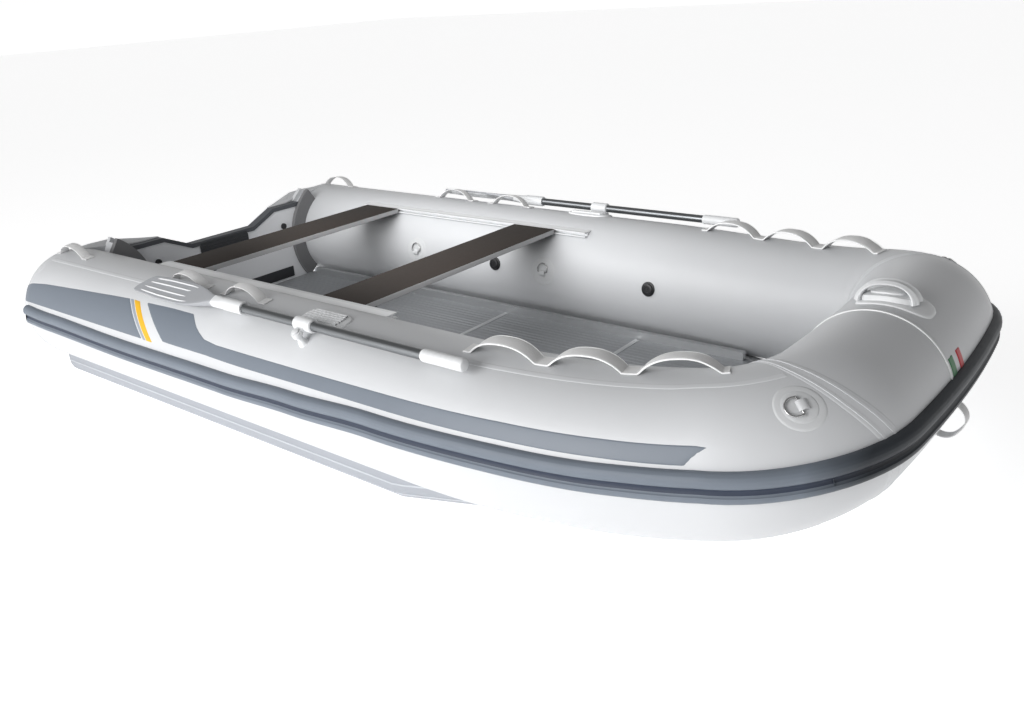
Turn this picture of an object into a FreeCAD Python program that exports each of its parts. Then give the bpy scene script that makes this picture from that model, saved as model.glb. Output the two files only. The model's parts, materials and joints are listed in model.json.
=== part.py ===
"""Inflatable dinghy with an aluminium floor, a wooden transom and two oars.

The frame: +X to the bow, +Y to port, +Z up, in millimetres. The origin is on the
ground under the middle of the boat. Pieces are drawn for the starboard side, and
the port ones are their mirror images.
"""
import FreeCAD, Part
import math
import os
from FreeCAD import Matrix, Placement, Rotation, Vector

doc = FreeCAD.newDocument("inflatable_dinghy")
sheet = doc.addObject("Spreadsheet::Sheet", "Sizes")

# Driving sizes: a name, a value in millimetres or degrees, and what it is
SIZES = [
    ("overall_length", 3430, "stern cone's tip to the rub strake at the stem"),
    ("tube_diameter", 450, "main tube along the sides"),
    ("bow_tube_diameter", 400, "main tube at the stem"),
    ("tube_spacing", 1352, "between the side tubes' centrelines"),
    ("ground_clearance", 100, "under the main tubes, where the speed tubes stand"),
    ("dome_depth", 140, "rounded stern end of each tube"),
    ("dome_knuckle", 110, "that end's rounded shoulder"),
    ("side_bend_radius", 3700, "gentle bend of the side tubes towards the bow"),
    ("side_turn", 13.4, "degrees turned by the gentle bend"),
    ("corner_radius", 250, "bow corner's bend"),
    ("corner_turn", 85, "degrees turned at the corner's end"),
    ("seam_turn", 50, "degrees turned at the ring seam, where the bow tube starts"),
    ("bow_rise", 98, "stem's centreline over the side tubes' centreline"),
    ("seat_gap", 0.3, "between a fitting and the curved face it sits on"),
    ("strake_depth", 22, "rub strake's stand-off from the tube"),
    ("strake_height", 75, "rub strake's height"),
    ("strake_gap", 0.5, "between the strake and the tube it is glued to"),
    ("strake_groove", 9, "depth of the groove between the strake's beads"),
    ("speed_tube_diameter", 100, "small tube under each main tube"),
    ("speed_tube_level", 1380, "its level run, from the transom forward"),
    ("speed_tube_fade", 600, "its run where it rises into the main tube"),
    ("speed_tube_rise", 115, "how far its end rises into the main tube"),
    ("keel_width", 44, "rubber strip under the keel"),
    ("keel_depth", 8, "thickness of that strip"),
    ("keel_aft_rise", 35, "keel at the transom over the level keel"),
    ("keel_aft_run", 580, "stretch in which the keel comes down from the transom"),
    ("keel_level_end", 2170, "end of the level keel, from the stern's tip"),
    ("stem_radius", 1850, "curve of the keel up to the stem"),
    ("skin_lap", 76, "how far inboard of the tube's lowest line the bottom skin joins it"),
    ("floor_height", 155, "top of the floor boards over the ground"),
    ("floor_thickness", 20, "floor board"),
    ("floor_width", 940, "across the floor boards"),
    ("floor_start", 240, "floor's aft edge from the stern's tip"),
    ("floor_gap", 1, "joint between two floor boards"),
    ("floor_board_length", 642, "each of the three square boards"),
    ("bow_board_length", 642, "the tapered board at the bow"),
    ("bow_board_nose", 660, "width of that board's front edge"),
    ("bow_board_taper", 200, "length of that board's tapered part"),
    ("stringer_start", 50, "side rails' aft ends from the floor's aft edge"),
    ("stringer_end_inset", 210, "side rails' front ends from the floor's front edge"),
    ("stringer_height", 32, "side rail over the floor's edge"),
    ("stringer_width", 22, "side rail across"),
    ("stringer_lap", 4, "side rail's outer face inboard of the floor's edge"),
    ("transom_inset", 210, "transom's front face from the stern's tip"),
    ("transom_thickness", 35, "transom board"),
    ("transom_top", 510, "transom's shoulders over the ground"),
    ("transom_cutout_top", 450, "motor cut-out over the ground"),
    ("transom_cutout_width", 340, "flat part of the motor cut-out"),
    ("transom_shoulder_width", 600, "between the shoulders' inner ends"),
    ("transom_edge_radius", 270, "transom's side edge about the tube's centreline"),
    ("trim_thickness", 5, "edge trim on the transom's top"),
    ("trim_lap", 14, "edge trim down the transom's faces"),
    ("holder_radius", 292, "outer face of the transom holder about the tube's centreline"),
    ("holder_length", 75, "transom holder along the tube"),
    ("holder_top_angle", 56, "degrees over the horizontal to the holder's upper end"),
    ("holder_foot_angle", 40, "degrees under the horizontal to the holder's lower end"),
    ("pad_width", 262, "motor pads across"),
    ("pad_height", 66, "inside motor pad"),
    ("pad_thickness", 10, "motor pads"),
    ("outside_pad_height", 150, "outside motor pad"),
    ("thwart_top", 525, "seat boards' top over the ground"),
    ("thwart_thickness", 20, "seat board"),
    ("thwart_depth", 207, "seat board fore and aft"),
    ("thwart_tongue", 10, "thickness of the seat board's end in its track"),
    ("tongue_length", 18, "that end's reach into the track"),
    ("thwart_aft_station", 745, "aft seat's middle from the stern's tip"),
    ("thwart_forward_station", 1632, "forward seat's middle from the stern's tip"),
    ("track_start", 620, "seat track's aft end from the stern's tip"),
    ("track_length", 1260, "seat track"),
    ("track_lip", 4.5, "wall of the seat track"),
    ("track_wall", 3.5, "seat track behind its slot"),
    ("track_slot_depth", 20, "seat track's slot"),
    ("track_clearance", 0.3, "play over and under the seat board's end"),
    ("track_end_play", 2, "play beyond the seat board's end"),
    ("oar_angle", 28, "degrees outboard from the tube's top to the stowed oar"),
    ("pin_station", 1776, "rowlock pin from the stern's tip"),
    ("pin_diameter", 14, "rowlock pin"),
    ("pin_offset", 40, "rowlock pin outboard of the oar's shaft"),
    ("pin_clearance", 0.06, "between the pin and the collar's bore"),
    ("rowlock_length", 210, "rowlock base along the tube"),
    ("rowlock_width", 116, "rowlock base round the tube"),
    ("rowlock_plate", 6, "rowlock base's plate"),
    ("rowlock_rib", 3, "ribs on the rowlock base"),
    ("shaft_diameter", 30, "oar shaft"),
    ("shaft_height", 36, "oar shaft's axis over the tube"),
    ("shaft_aft", 296, "from the pin to the shaft's aft end"),
    ("shaft_forward", 484, "from the pin to the grip"),
    ("grip_length", 145, "oar grip"),
    ("grip_diameter", 37, "oar grip"),
    ("collar_length", 76, "rowlock collar along the shaft"),
    ("collar_wall", 6, "rowlock collar round the shaft"),
    ("ear_thickness", 18, "collar's ear on the pin"),
    ("blade_length", 410, "oar blade"),
    ("blade_width", 98, "oar blade across"),
    ("blade_thickness", 7, "oar blade"),
    ("neck_length", 170, "from the blade to its socket's end"),
    ("socket_length", 90, "blade's socket on the shaft"),
    ("socket_diameter", 42, "that socket across"),
    ("handle_span", 176, "grab handle between its feet's middles"),
    ("handle_height", 44, "grab handle over the tube"),
    ("handle_width", 38, "grab handle's webbing across"),
    ("handle_thickness", 5, "grab handle's webbing"),
    ("handle_foot", 26, "length of each foot"),
    ("bow_handle_width", 50, "bow handle across"),
    ("bow_handle_height", 52, "bow handle over the tube"),
    ("bow_handle_angle", 50, "degrees of tube that the bow handle spans"),
    ("bow_handle_wall", 9, "thickness of the bow handle's grip and base"),
    ("bow_handle_middle", 84, "degrees from the tube's aft side to the bow handle's middle"),
    ("bow_post_angle", 6, "degrees of tube under each end of the bow handle's grip"),
    ("bow_base_width", 136, "bow handle's base across"),
    ("bow_base_angle", 74, "degrees of tube that its base spans"),
    ("bow_loop_span", 110, "towing loop between its feet's middles"),
    ("bow_loop_width", 27, "towing loop's webbing across"),
    ("bow_loop_angle", 30, "degrees under the horizontal to the towing loop"),
    ("ring_wire", 6, "D-ring's wire"),
    ("ring_width", 44, "D-ring across"),
    ("ring_tab", 20, "tab that holds the D-ring, along its pull"),
    ("ring_patch", 118, "D-ring's round patch across"),
    ("patch_thickness", 2, "that patch's thickness"),
    ("eye_spacing", 690, "between the towing eyes on the transom"),
    ("eye_height", 415, "towing eyes over the ground"),
    ("eye_plate", 30, "towing eye's plate across"),
    ("eye_plate_depth", 6, "that plate's thickness"),
    ("eye_wire", 8, "towing eye's wire"),
    ("eye_ring", 38, "towing eye's ring across"),
    ("valve_diameter", 48, "valve's flange across"),
    ("valve_depth", 13, "valve over the tube"),
]
for row, (alias, size, note) in enumerate(SIZES, start=1):
    sheet.set(f"A{row}", note)
    sheet.set(f"B{row}", str(size))
    sheet.setAlias(f"B{row}", alias)
doc.recompute()

ALONG = Vector(1, 0, 0)
PORT = Vector(0, 1, 0)
UPWARD = Vector(0, 0, 1)
ORIGIN = Vector(0, 0, 0)
OVERRUN = 2.0
RISE_POWER = 3.6
TAPER_POWER = 1.6
STRAKE_GROOVE_SHARE = -0.08
NODES = []


def size(alias):
    """The value of one cell of the sheet."""
    return float(getattr(sheet, alias))


def bind(item, **expressions):
    """Bind an object's sizes to cells of the sheet."""
    for name, expression in expressions.items():
        item.setExpression(name, expression)
    return item


def cells(expression):
    """An expression with each alias read from the sheet."""
    words = expression.replace("(", " ( ").replace(")", " ) ").split()
    aliases = {alias for alias, _, _ in SIZES}
    return " ".join(f"Sizes.{word}" if word in aliases else word for word in words)


def node(item, label):
    """Give a finished sub-part its name."""
    item.Label = label
    NODES.append(item)
    return item


def feature(label, shape, place=None):
    """A sub-part whose shape is worked out below."""
    item = doc.addObject("Part::Feature", label)
    item.Shape = shape
    item.Placement = place or Placement()
    return node(item, label)


def mirrored(item, label):
    """The port twin of a starboard sub-part."""
    twin = doc.addObject("Part::Mirroring", label)
    twin.Source = item
    twin.Base = ORIGIN
    twin.Normal = PORT
    return node(twin, label)


def pair(item, stem):
    """Name a starboard sub-part and make its port twin."""
    node(item, stem + "_starboard")
    mirrored(item, stem + "_port")


# Places that several pieces share
tube_radius = size("tube_diameter") / 2
bow_radius = size("bow_tube_diameter") / 2
half_spacing = size("tube_spacing") / 2
stern_x = -size("overall_length") / 2
stem_x = size("overall_length") / 2 - bow_radius - size("strake_depth")
centre_z = size("ground_clearance") + tube_radius
transom_x = stern_x + size("transom_inset")
gap = size("seat_gap")


def arc_reach(radius, start, end):
    """Forward and inboard travel of an arc between two headings, in degrees."""
    a = math.radians(start)
    b = math.radians(end)
    return radius * (math.sin(b) - math.sin(a)), radius * (math.cos(a) - math.cos(b))


side_reach = arc_reach(size("side_bend_radius"), 0, size("side_turn"))
corner_reach = arc_reach(size("corner_radius"), size("side_turn"), size("corner_turn"))
front_half = half_spacing - side_reach[1] - corner_reach[1]
front_radius = front_half / math.cos(math.radians(size("corner_turn")))
front_reach = arc_reach(front_radius, size("corner_turn"), 90)
bend_x = stem_x - front_reach[0] - corner_reach[0] - side_reach[0]
dome_x = stern_x + size("dome_depth")


class Station:
    """A place on the starboard tube's centreline, with its section's directions."""

    def __init__(self, x, y, heading):
        share = max(x - bend_x, 0) / (stem_x - bend_x)
        lift = size("bow_rise") * share ** RISE_POWER
        slope = RISE_POWER * size("bow_rise") * share ** (RISE_POWER - 1) / (stem_x - bend_x)
        turn = math.radians(heading)
        ahead = Vector(math.cos(turn), math.sin(turn), slope * math.cos(turn))
        self.centre = Vector(x, y, centre_z + lift)
        self.radius = tube_radius - (tube_radius - bow_radius) * share ** TAPER_POWER
        self.ahead = ahead.normalize()
        self.inboard = Vector(-math.sin(turn), math.cos(turn), 0)
        self.up = self.ahead.cross(self.inboard)

    def mirror(self):
        """The same place on the port tube, followed from bow to stern."""
        twin = Station.__new__(Station)
        twin.centre = flip(self.centre)
        twin.radius = self.radius
        twin.ahead = flip(self.ahead) * -1
        twin.inboard = flip(self.inboard)
        twin.up = flip(self.up)
        return twin

    def place(self):
        """Placement that lays a drawing's X inboard, its Y up and its Z along the tube."""
        u, v, w = self.inboard, self.up, self.ahead
        c = self.centre
        return Placement(Matrix(u.x, v.x, w.x, c.x, u.y, v.y, w.y, c.y, u.z, v.z, w.z, c.z, 0, 0, 0, 1))

    def seat(self, angle, height=0):
        """Placement on the tube's skin: X along the tube, Y round it to inboard, Z outwards.

        The angle is in degrees from the tube's inboard side, up and over."""
        turn = math.radians(angle)
        out = self.inboard * math.cos(turn) + self.up * math.sin(turn)
        side = out.cross(self.ahead)
        at = self.centre + out * (self.radius + height)
        a = self.ahead
        return Placement(Matrix(a.x, side.x, out.x, at.x, a.y, side.y, out.y, at.y,
                                a.z, side.z, out.z, at.z, 0, 0, 0, 1))


def flip(vector):
    """A vector mirrored to the other side of the boat."""
    return Vector(vector.x, -vector.y, vector.z)


def straight_station(x):
    """A station on the straight part of the starboard tube."""
    return Station(x, -half_spacing, 0)


def side_station(heading):
    """A station on the gentle bend, by its heading in degrees."""
    ahead, inboard = arc_reach(size("side_bend_radius"), 0, heading)
    return Station(bend_x + ahead, -half_spacing + inboard, heading)


def station_at(x):
    """The station at a place along the straight part or the gentle bend."""
    if x <= bend_x:
        return straight_station(x)
    return side_station(math.degrees(math.asin((x - bend_x) / size("side_bend_radius"))))


def corner_station(heading):
    """A station on the bow corner, by its heading in degrees."""
    ahead, inboard = arc_reach(size("corner_radius"), size("side_turn"), heading)
    return Station(bend_x + side_reach[0] + ahead, -half_spacing + side_reach[1] + inboard, heading)


def front_station(heading):
    """A station on the nearly straight front, by its heading in degrees."""
    ahead, inboard = arc_reach(front_radius, size("corner_turn"), heading)
    return Station(stem_x - front_reach[0] + ahead, -front_half + inboard, heading)


def spread(start, end, count):
    """Evenly spaced values from start to end."""
    return [start + (end - start) * i / (count - 1) for i in range(count)]


SIDE_STATIONS = 8
CORNER_STATIONS = 3
FRONT_STATIONS = 2
side_run = [side_station(a) for a in spread(0, size("side_turn"), SIDE_STATIONS)]
turn_run = [corner_station(a) for a in spread(size("side_turn"), size("seam_turn"), CORNER_STATIONS)]
corner_run = [corner_station(a) for a in spread(size("seam_turn"), size("corner_turn"), CORNER_STATIONS)]
front_run = [front_station(a) for a in spread(size("corner_turn"), 90, FRONT_STATIONS)]
half_bow = corner_run + front_run[1:]
bow_run = half_bow + [station.mirror() for station in reversed(half_bow[:-1])]


def loft(stations, draw, ruled=False):
    """A solid through one drawing at each station; draw(radius) gives the wire."""
    wires = []
    for station in stations:
        wire = draw(station.radius)
        wire.Placement = station.place()
        wires.append(wire)
    return Part.makeLoft(wires, True, ruled)


def wire_through(points):
    """A closed wire of straight runs."""
    return Part.makePolygon(list(points) + [points[0]])


def prism(points, depth):
    """A flat outline pushed along a direction."""
    return Part.Face(wire_through(points)).extrude(depth)


# Main tubes
def tube_circle(extra=0.0):
    """Draws the tube's round section."""
    return lambda radius: Part.Wire(Part.makeCircle(radius + extra))


def side_tube(extra=0.0):
    """Dished stern end, straight run and gentle bend of the starboard tube."""
    radius = tube_radius + extra
    depth = size("dome_depth") + extra
    knuckle = size("dome_knuckle") + extra
    shoulder = radius - knuckle
    # The dish is a sphere that meets the knuckle's ring smoothly
    dish_x = (shoulder ** 2 - (depth - knuckle) ** 2) / (2 * (depth - knuckle))
    dish = depth + dish_x
    lean = math.atan2(shoulder, dish_x)
    tip = Vector(dome_x - depth, 0, 0)
    touch = Vector(dome_x + dish_x - dish * math.cos(lean), 0, dish * math.sin(lean))
    on_dish = Vector(dome_x + dish_x - dish * math.cos(lean / 2), 0, dish * math.sin(lean / 2))
    half_turn = (math.pi / 2 - lean) / 2
    on_knuckle = Vector(dome_x - knuckle * math.sin(half_turn), 0, shoulder + knuckle * math.cos(half_turn))
    crown = Vector(dome_x, 0, radius)
    joint = Vector(bend_x, 0, radius)
    foot = Vector(bend_x, 0, 0)
    edges = [Part.Arc(tip, on_dish, touch).toShape(), Part.Arc(touch, on_knuckle, crown).toShape()]
    edges += [Part.LineSegment(a, b).toShape() for a, b in ((crown, joint), (joint, foot), (foot, tip))]
    body = Part.Face(Part.Wire(edges)).revolve(ORIGIN, ALONG, 360)
    body.translate(Vector(0, -half_spacing, centre_z))
    return body.fuse([loft(side_run, tube_circle(extra)), loft(turn_run, tube_circle(extra))])


tube_starboard = feature("tube_starboard", side_tube())
mirrored(tube_starboard, "tube_port")
tube_bow = feature("tube_bow", loft(bow_run, tube_circle()))
side_space = side_tube(gap)
bow_space = loft(bow_run, tube_circle(gap))


# Rub strake: two beads with a groove between them
# Each row: share of the overall length, then degrees from the tube's widest line up to the strake
STRAKE_LEAN_SHARES = ((0.0, 5.0), (0.09, 2.5), (0.25, 0.5), (0.42, 1.5), (0.52, 4.5), (0.62, 8.0),
                      (0.72, 9.0), (0.82, 8.0), (0.9, 6.0), (0.96, 5.0), (1.0, 5.0))


def strake_lean(x):
    """Degrees from the tube's widest line up to the strake, at a place along the boat."""
    share = (x - stern_x) / size("overall_length")
    for (start, low), (end, high) in zip(STRAKE_LEAN_SHARES, STRAKE_LEAN_SHARES[1:]):
        if share <= end:
            part = max((share - start) / (end - start), 0)
            blend = part * part * (3 - 2 * part)
            return low + (high - low) * blend
    return STRAKE_LEAN_SHARES[-1][1]


def strake_section(station):
    """Draws the strake on the tube's outboard side, upright about its own middle."""
    half = size("strake_height") / 2
    seat = station.radius + size("strake_gap")
    outer = -(station.radius + size("strake_depth"))
    floor = outer + size("strake_groove")
    round_off = size("strake_depth") / 3
    groove = size("strake_height") * STRAKE_GROOVE_SHARE

    def skin(height):
        return Vector(-math.sqrt(seat ** 2 - height ** 2), height, 0)

    edges = [Part.Arc(skin(-half), skin(0), skin(half)).toShape()]
    corners = [skin(half), Vector(outer + round_off, half - round_off / 2, 0),
               Vector(outer, half - round_off * 2, 0), Vector(outer, groove + round_off, 0),
               Vector(floor, groove, 0), Vector(outer, groove - round_off, 0),
               Vector(outer, round_off * 2 - half, 0), Vector(outer + round_off, round_off / 2 - half, 0),
               skin(-half)]
    edges += [Part.LineSegment(a, b).toShape() for a, b in zip(corners, corners[1:])]
    wire = Part.Wire(edges)
    lean = Placement(ORIGIN, Rotation(UPWARD, -strake_lean(station.centre.x)))
    wire.Placement = station.place().multiply(lean)
    return wire


def strake_loft(stations):
    """The strake along a run of the tube."""
    return Part.makeLoft([strake_section(station) for station in stations], True, False)


STRAKE_STATIONS = 9
straight_run = [straight_station(x) for x in spread(dome_x, bend_x, STRAKE_STATIONS)]
side_strake = strake_loft(straight_run + side_run[1:] + turn_run[1:]).cut([side_space])
strake_starboard = feature("rub_strake_starboard", side_strake)
mirrored(strake_starboard, "rub_strake_port")
feature("rub_strake_bow", strake_loft(bow_run).cut([bow_space]))


# Speed tubes: a small round tube that stands on the ground under each main tube
def speed_tube():
    """Level run and fading end, cut to sit on the main tube."""
    r = size("speed_tube_diameter") / 2
    start = transom_x
    level_end = start + size("speed_tube_level")
    end = level_end + size("speed_tube_fade")

    def outline(x, lift):
        low = r + lift
        left = Vector(x, -half_spacing - r, low)
        right = Vector(x, -half_spacing + r, low)
        bottom = Part.Arc(left, Vector(x, -half_spacing, low - r), right).toShape()
        height = Vector(0, 0, centre_z - low)
        sides = [right, right + height, left + height, left]
        return Part.Wire([bottom] + [Part.LineSegment(a, b).toShape() for a, b in zip(sides, sides[1:])])

    level = Part.makeLoft([outline(start, 0), outline(level_end, 0)], True, True)
    fade = Part.makeLoft([outline(level_end, 0), outline(end, size("speed_tube_rise"))], True, True)
    trimmed = level.fuse(fade).cut(side_space)
    return max(trimmed.Solids, key=lambda solid: solid.Volume)


speed_starboard = feature("speed_tube_starboard", speed_tube())
mirrored(speed_starboard, "speed_tube_port")

# Bottom: a shallow V from the side tubes to the keel, rising to the stem
keel_z = size("keel_depth") + gap
keel_end_x = stern_x + size("keel_level_end")
floor_x = stern_x + size("floor_start")
floor_end_x = floor_x + 3 * size("floor_board_length") + size("bow_board_length")
floor_under = size("floor_height") - size("floor_thickness")
KEEL_STEPS = 4


def keel_line():
    """Places along the keel, from the transom forward and up the stem's curve."""
    places = [(transom_x + gap, keel_z + size("keel_aft_rise")),
              (transom_x + size("keel_aft_run"), keel_z), (keel_end_x, keel_z)]
    under_floor = spread(keel_end_x, floor_end_x + OVERRUN, KEEL_STEPS)[1:]
    ahead = spread(floor_end_x + OVERRUN, stem_x - bow_radius / 2, KEEL_STEPS)[1:]
    for x in under_floor + ahead:
        drop = math.sqrt(size("stem_radius") ** 2 - (x - keel_end_x) ** 2)
        places.append((x, keel_z + size("stem_radius") - drop))
    return places


def hull_form():
    """The V bottom's whole form, before the tubes are taken away from it."""
    wires = []
    slab = size("floor_thickness")
    for x, low in keel_line():
        tube = station_at(min(x, bend_x + side_reach[0]))
        half = -tube.centre.y - size("skin_lap")
        edge = tube.centre.z - math.sqrt(tube.radius ** 2 - size("skin_lap") ** 2)
        if x < floor_end_x + OVERRUN * 2:
            top = floor_under - gap
            edge = min(edge, top - slab / 3)
        else:
            edge = max(edge, low + slab / 3)
            top = edge + slab
        corners = [Vector(x, -half, top), Vector(x, half, top), Vector(x, half, edge),
                   Vector(x, 0, low), Vector(x, -half, edge)]
        wires.append(wire_through(corners))
    return Part.makeLoft(wires, True, True)


port_space = side_space.mirror(ORIGIN, PORT)
bottom = hull_form().cut([side_space, port_space, bow_space])
hull_bottom = feature("hull_bottom", max(bottom.Solids, key=lambda solid: solid.Volume))


def keel_strip():
    """Rubber strip under the keel line."""
    half = size("keel_width") / 2
    wires = []
    for x, low in keel_line():
        z = low - gap
        corners = [Vector(x, -half, z), Vector(x, half, z),
                   Vector(x, half / 2, z - size("keel_depth")), Vector(x, -half / 2, z - size("keel_depth"))]
        wires.append(wire_through(corners))
    strip = Part.makeLoft(wires, True, True).cut([bow_space])
    return max(strip.Solids, key=lambda solid: solid.Volume)


feature("keel_strip", keel_strip())

# Floor boards and the stringers that lock their edges
BOARDS = ["floor_board_aft", "floor_board_middle", "floor_board_forward"]
for index, label in enumerate(BOARDS):
    board = bind(
        doc.addObject("Part::Box", label),
        Length=cells("floor_board_length - floor_gap"),
        Width=cells("floor_width"),
        Height=cells("floor_thickness"))
    board.setExpression("Placement.Base.x", cells(
        f"floor_start - overall_length / 2 + {index} * floor_board_length"))
    board.setExpression("Placement.Base.y", cells("0 - floor_width / 2"))
    board.setExpression("Placement.Base.z", cells("floor_height - floor_thickness"))
    node(board, label)


def bow_board():
    """The board at the bow, narrower towards its front edge."""
    start = floor_end_x - size("bow_board_length")
    shoulder = floor_end_x - size("bow_board_taper")
    half = size("floor_width") / 2
    nose = size("bow_board_nose") / 2
    z = floor_under
    corners = [Vector(start, -half, z), Vector(shoulder, -half, z), Vector(floor_end_x, -nose, z),
               Vector(floor_end_x, nose, z), Vector(shoulder, half, z), Vector(start, half, z)]
    return prism(corners, UPWARD * size("floor_thickness"))


feature("floor_board_bow", bow_board())

stringer = bind(
    doc.addObject("Part::Box", "stringer"),
    Length=cells("3 * floor_board_length + bow_board_length - stringer_start - stringer_end_inset"),
    Width=cells("stringer_width"),
    Height=cells("stringer_height"))
stringer.setExpression("Placement.Base.x", cells("floor_start + stringer_start - overall_length / 2"))
stringer.setExpression("Placement.Base.y", cells("stringer_lap - floor_width / 2"))
stringer.setExpression("Placement.Base.z", cells("floor_height"))
pair(stringer, "stringer")


# Transom
def shoulder_points(x, raise_by=0.0):
    """Places along the transom's top edge, from starboard to port."""
    top = size("transom_top") + raise_by
    low = size("transom_cutout_top") + raise_by
    outer = half_spacing - math.sqrt(size("transom_edge_radius") ** 2 - (size("transom_top") - centre_z) ** 2)
    shoulder = size("transom_shoulder_width") / 2
    flat = size("transom_cutout_width") / 2
    half = [(outer, top), (shoulder, top), (flat, low)]
    port = [Vector(x, y, z) for y, z in half]
    return [flip(point) for point in port] + port[::-1]


def transom_outline(x):
    """The board's outline: top edge, arcs round the tubes and the V below."""
    top = shoulder_points(x)
    radius = size("transom_edge_radius")
    half = half_spacing - size("skin_lap")
    edge_z = centre_z - math.sqrt(tube_radius ** 2 - size("skin_lap") ** 2)
    keel = keel_z + size("keel_aft_rise")
    angle = math.radians(-52)
    foot = Vector(x, half_spacing - radius * math.cos(angle), centre_z + radius * math.sin(angle))
    side = Vector(x, half_spacing - radius, centre_z)
    slope = (edge_z - keel) / half
    foot_low = Vector(x, foot.y, keel + slope * foot.y)
    runs = [(a, b) for a, b in zip(top, top[1:])]
    edges = [Part.LineSegment(a, b).toShape() for a, b in runs]
    edges.append(Part.Arc(top[-1], side, foot).toShape())
    edges.append(Part.LineSegment(foot, foot_low).toShape())
    edges.append(Part.LineSegment(foot_low, Vector(x, 0, keel)).toShape())
    edges.append(Part.LineSegment(Vector(x, 0, keel), flip(foot_low)).toShape())
    edges.append(Part.LineSegment(flip(foot_low), flip(foot)).toShape())
    edges.append(Part.Arc(flip(foot), flip(side), top[0]).toShape())
    return Part.Wire(edges)


transom_aft = transom_x - size("transom_thickness")
transom_shape = Part.Face(transom_outline(transom_aft)).extrude(ALONG * size("transom_thickness"))
feature("transom", transom_shape)


def tube_side_cylinder(radius, start, length):
    """A cylinder about the starboard tube's centreline."""
    return Part.makeCylinder(radius, length, Vector(start, -half_spacing, centre_z), ALONG)


def top_trim():
    """Dark edging folded over the transom's top edge, between the holders."""
    t = size("trim_thickness")
    start = transom_aft - t
    length = size("transom_thickness") + 2 * t
    under = shoulder_points(start, -size("trim_lap"))
    over = shoulder_points(start, t)
    band = prism(over + under[::-1], ALONG * length)
    stop = tube_side_cylinder(size("holder_radius") + gap, start - OVERRUN, length + 2 * OVERRUN)
    trimmed = band.cut([transom_shape, stop, stop.mirror(ORIGIN, PORT)])
    return max(trimmed.Solids, key=lambda solid: solid.Volume)


feature("transom_trim", top_trim())


def transom_holder():
    """Rubber channel between the starboard tube and the transom's edge."""
    length = size("holder_length")
    start = transom_x - size("transom_thickness") / 2 - length / 2
    outer = tube_side_cylinder(size("holder_radius"), start, length)
    reach = 2 * size("holder_radius")
    high = math.radians(size("holder_top_angle"))
    low = math.radians(size("holder_foot_angle"))
    rays = [(0, 0), (math.cos(high), math.sin(high)), (1, 1), (1, -1), (math.cos(low), -math.sin(low))]
    sector = [Vector(start, -half_spacing + reach * y, centre_z + reach * z) for y, z in rays]
    wedge = prism(sector, ALONG * length)
    groove = tube_side_cylinder(reach, transom_aft, size("transom_thickness"))
    groove = groove.cut(tube_side_cylinder(size("transom_edge_radius") - gap, transom_aft,
                                           size("transom_thickness")))
    channel = outer.common(wedge).cut([side_space, groove])
    return max(channel.Solids, key=lambda solid: solid.Volume)


holder = doc.addObject("Part::Feature", "transom_holder")
holder.Shape = transom_holder()
pair(holder, "transom_holder")

# Motor pads on both faces of the transom
inside_pad = bind(
    doc.addObject("Part::Box", "motor_pad_inside"),
    Length=cells("pad_thickness"), Width=cells("pad_width"), Height=cells("pad_height"))
inside_pad.setExpression("Placement.Base.x", cells("transom_inset - overall_length / 2"))
inside_pad.setExpression("Placement.Base.y", cells("0 - pad_width / 2"))
inside_pad.setExpression("Placement.Base.z", cells("transom_cutout_top - trim_lap - pad_height"))
node(inside_pad, "motor_pad_inside")
outside_pad = bind(
    doc.addObject("Part::Box", "motor_pad_outside"),
    Length=cells("pad_thickness"), Width=cells("pad_width"), Height=cells("outside_pad_height"))
outside_pad.setExpression("Placement.Base.x", cells(
    "transom_inset - overall_length / 2 - transom_thickness - pad_thickness"))
outside_pad.setExpression("Placement.Base.y", cells("0 - pad_width / 2"))
outside_pad.setExpression("Placement.Base.z", cells("transom_cutout_top - trim_lap - outside_pad_height"))
node(outside_pad, "motor_pad_outside")


# Seats and their tracks
thwart_z = size("thwart_top") - size("thwart_thickness")
tongue_z = size("thwart_top") - size("thwart_thickness") / 2
track_half = size("thwart_tongue") / 2 + size("track_clearance") + size("track_lip")


def skin_offset(height):
    """Horizontal distance from a side tube's centreline to its skin at a height."""
    return math.sqrt(tube_radius ** 2 - (height - centre_z) ** 2)


slot_half = track_half - size("track_lip")
slot_back = half_spacing - skin_offset(tongue_z - slot_half) - size("track_wall")
slot_mouth = slot_back - size("track_slot_depth")


def seat_track():
    """Channel glued to the starboard tube, its slot facing inboard."""
    x = stern_x + size("track_start")
    back = half_spacing - skin_offset(tongue_z + track_half) + size("track_wall")
    body = Part.makeBox(size("track_length"), back - slot_mouth, 2 * track_half,
                        Vector(x, -back, tongue_z - track_half))
    slot = Part.makeBox(size("track_length") + 2 * OVERRUN, size("track_slot_depth") + OVERRUN, 2 * slot_half,
                        Vector(x - OVERRUN, -slot_back, tongue_z - slot_half))
    trimmed = body.cut([slot, side_space])
    return max(trimmed.Solids, key=lambda solid: solid.Volume)


track = doc.addObject("Part::Feature", "seat_track")
track.Shape = seat_track()
pair(track, "seat_track")


def thwart(station):
    """Seat board with a thinner end in each track."""
    depth = size("thwart_depth")
    start = stern_x + station - depth / 2
    reach = slot_back - size("track_end_play")
    shoulder = slot_mouth - size("track_end_play")
    board = Part.makeBox(depth, 2 * shoulder, size("thwart_thickness"), Vector(start, -shoulder, thwart_z))
    tongue = Part.makeBox(depth, 2 * reach, size("thwart_tongue"),
                          Vector(start, -reach, tongue_z - size("thwart_tongue") / 2))
    return board.fuse(tongue).removeSplitter()


feature("thwart_aft", thwart(size("thwart_aft_station")))
feature("thwart_forward", thwart(size("thwart_forward_station")))

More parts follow.
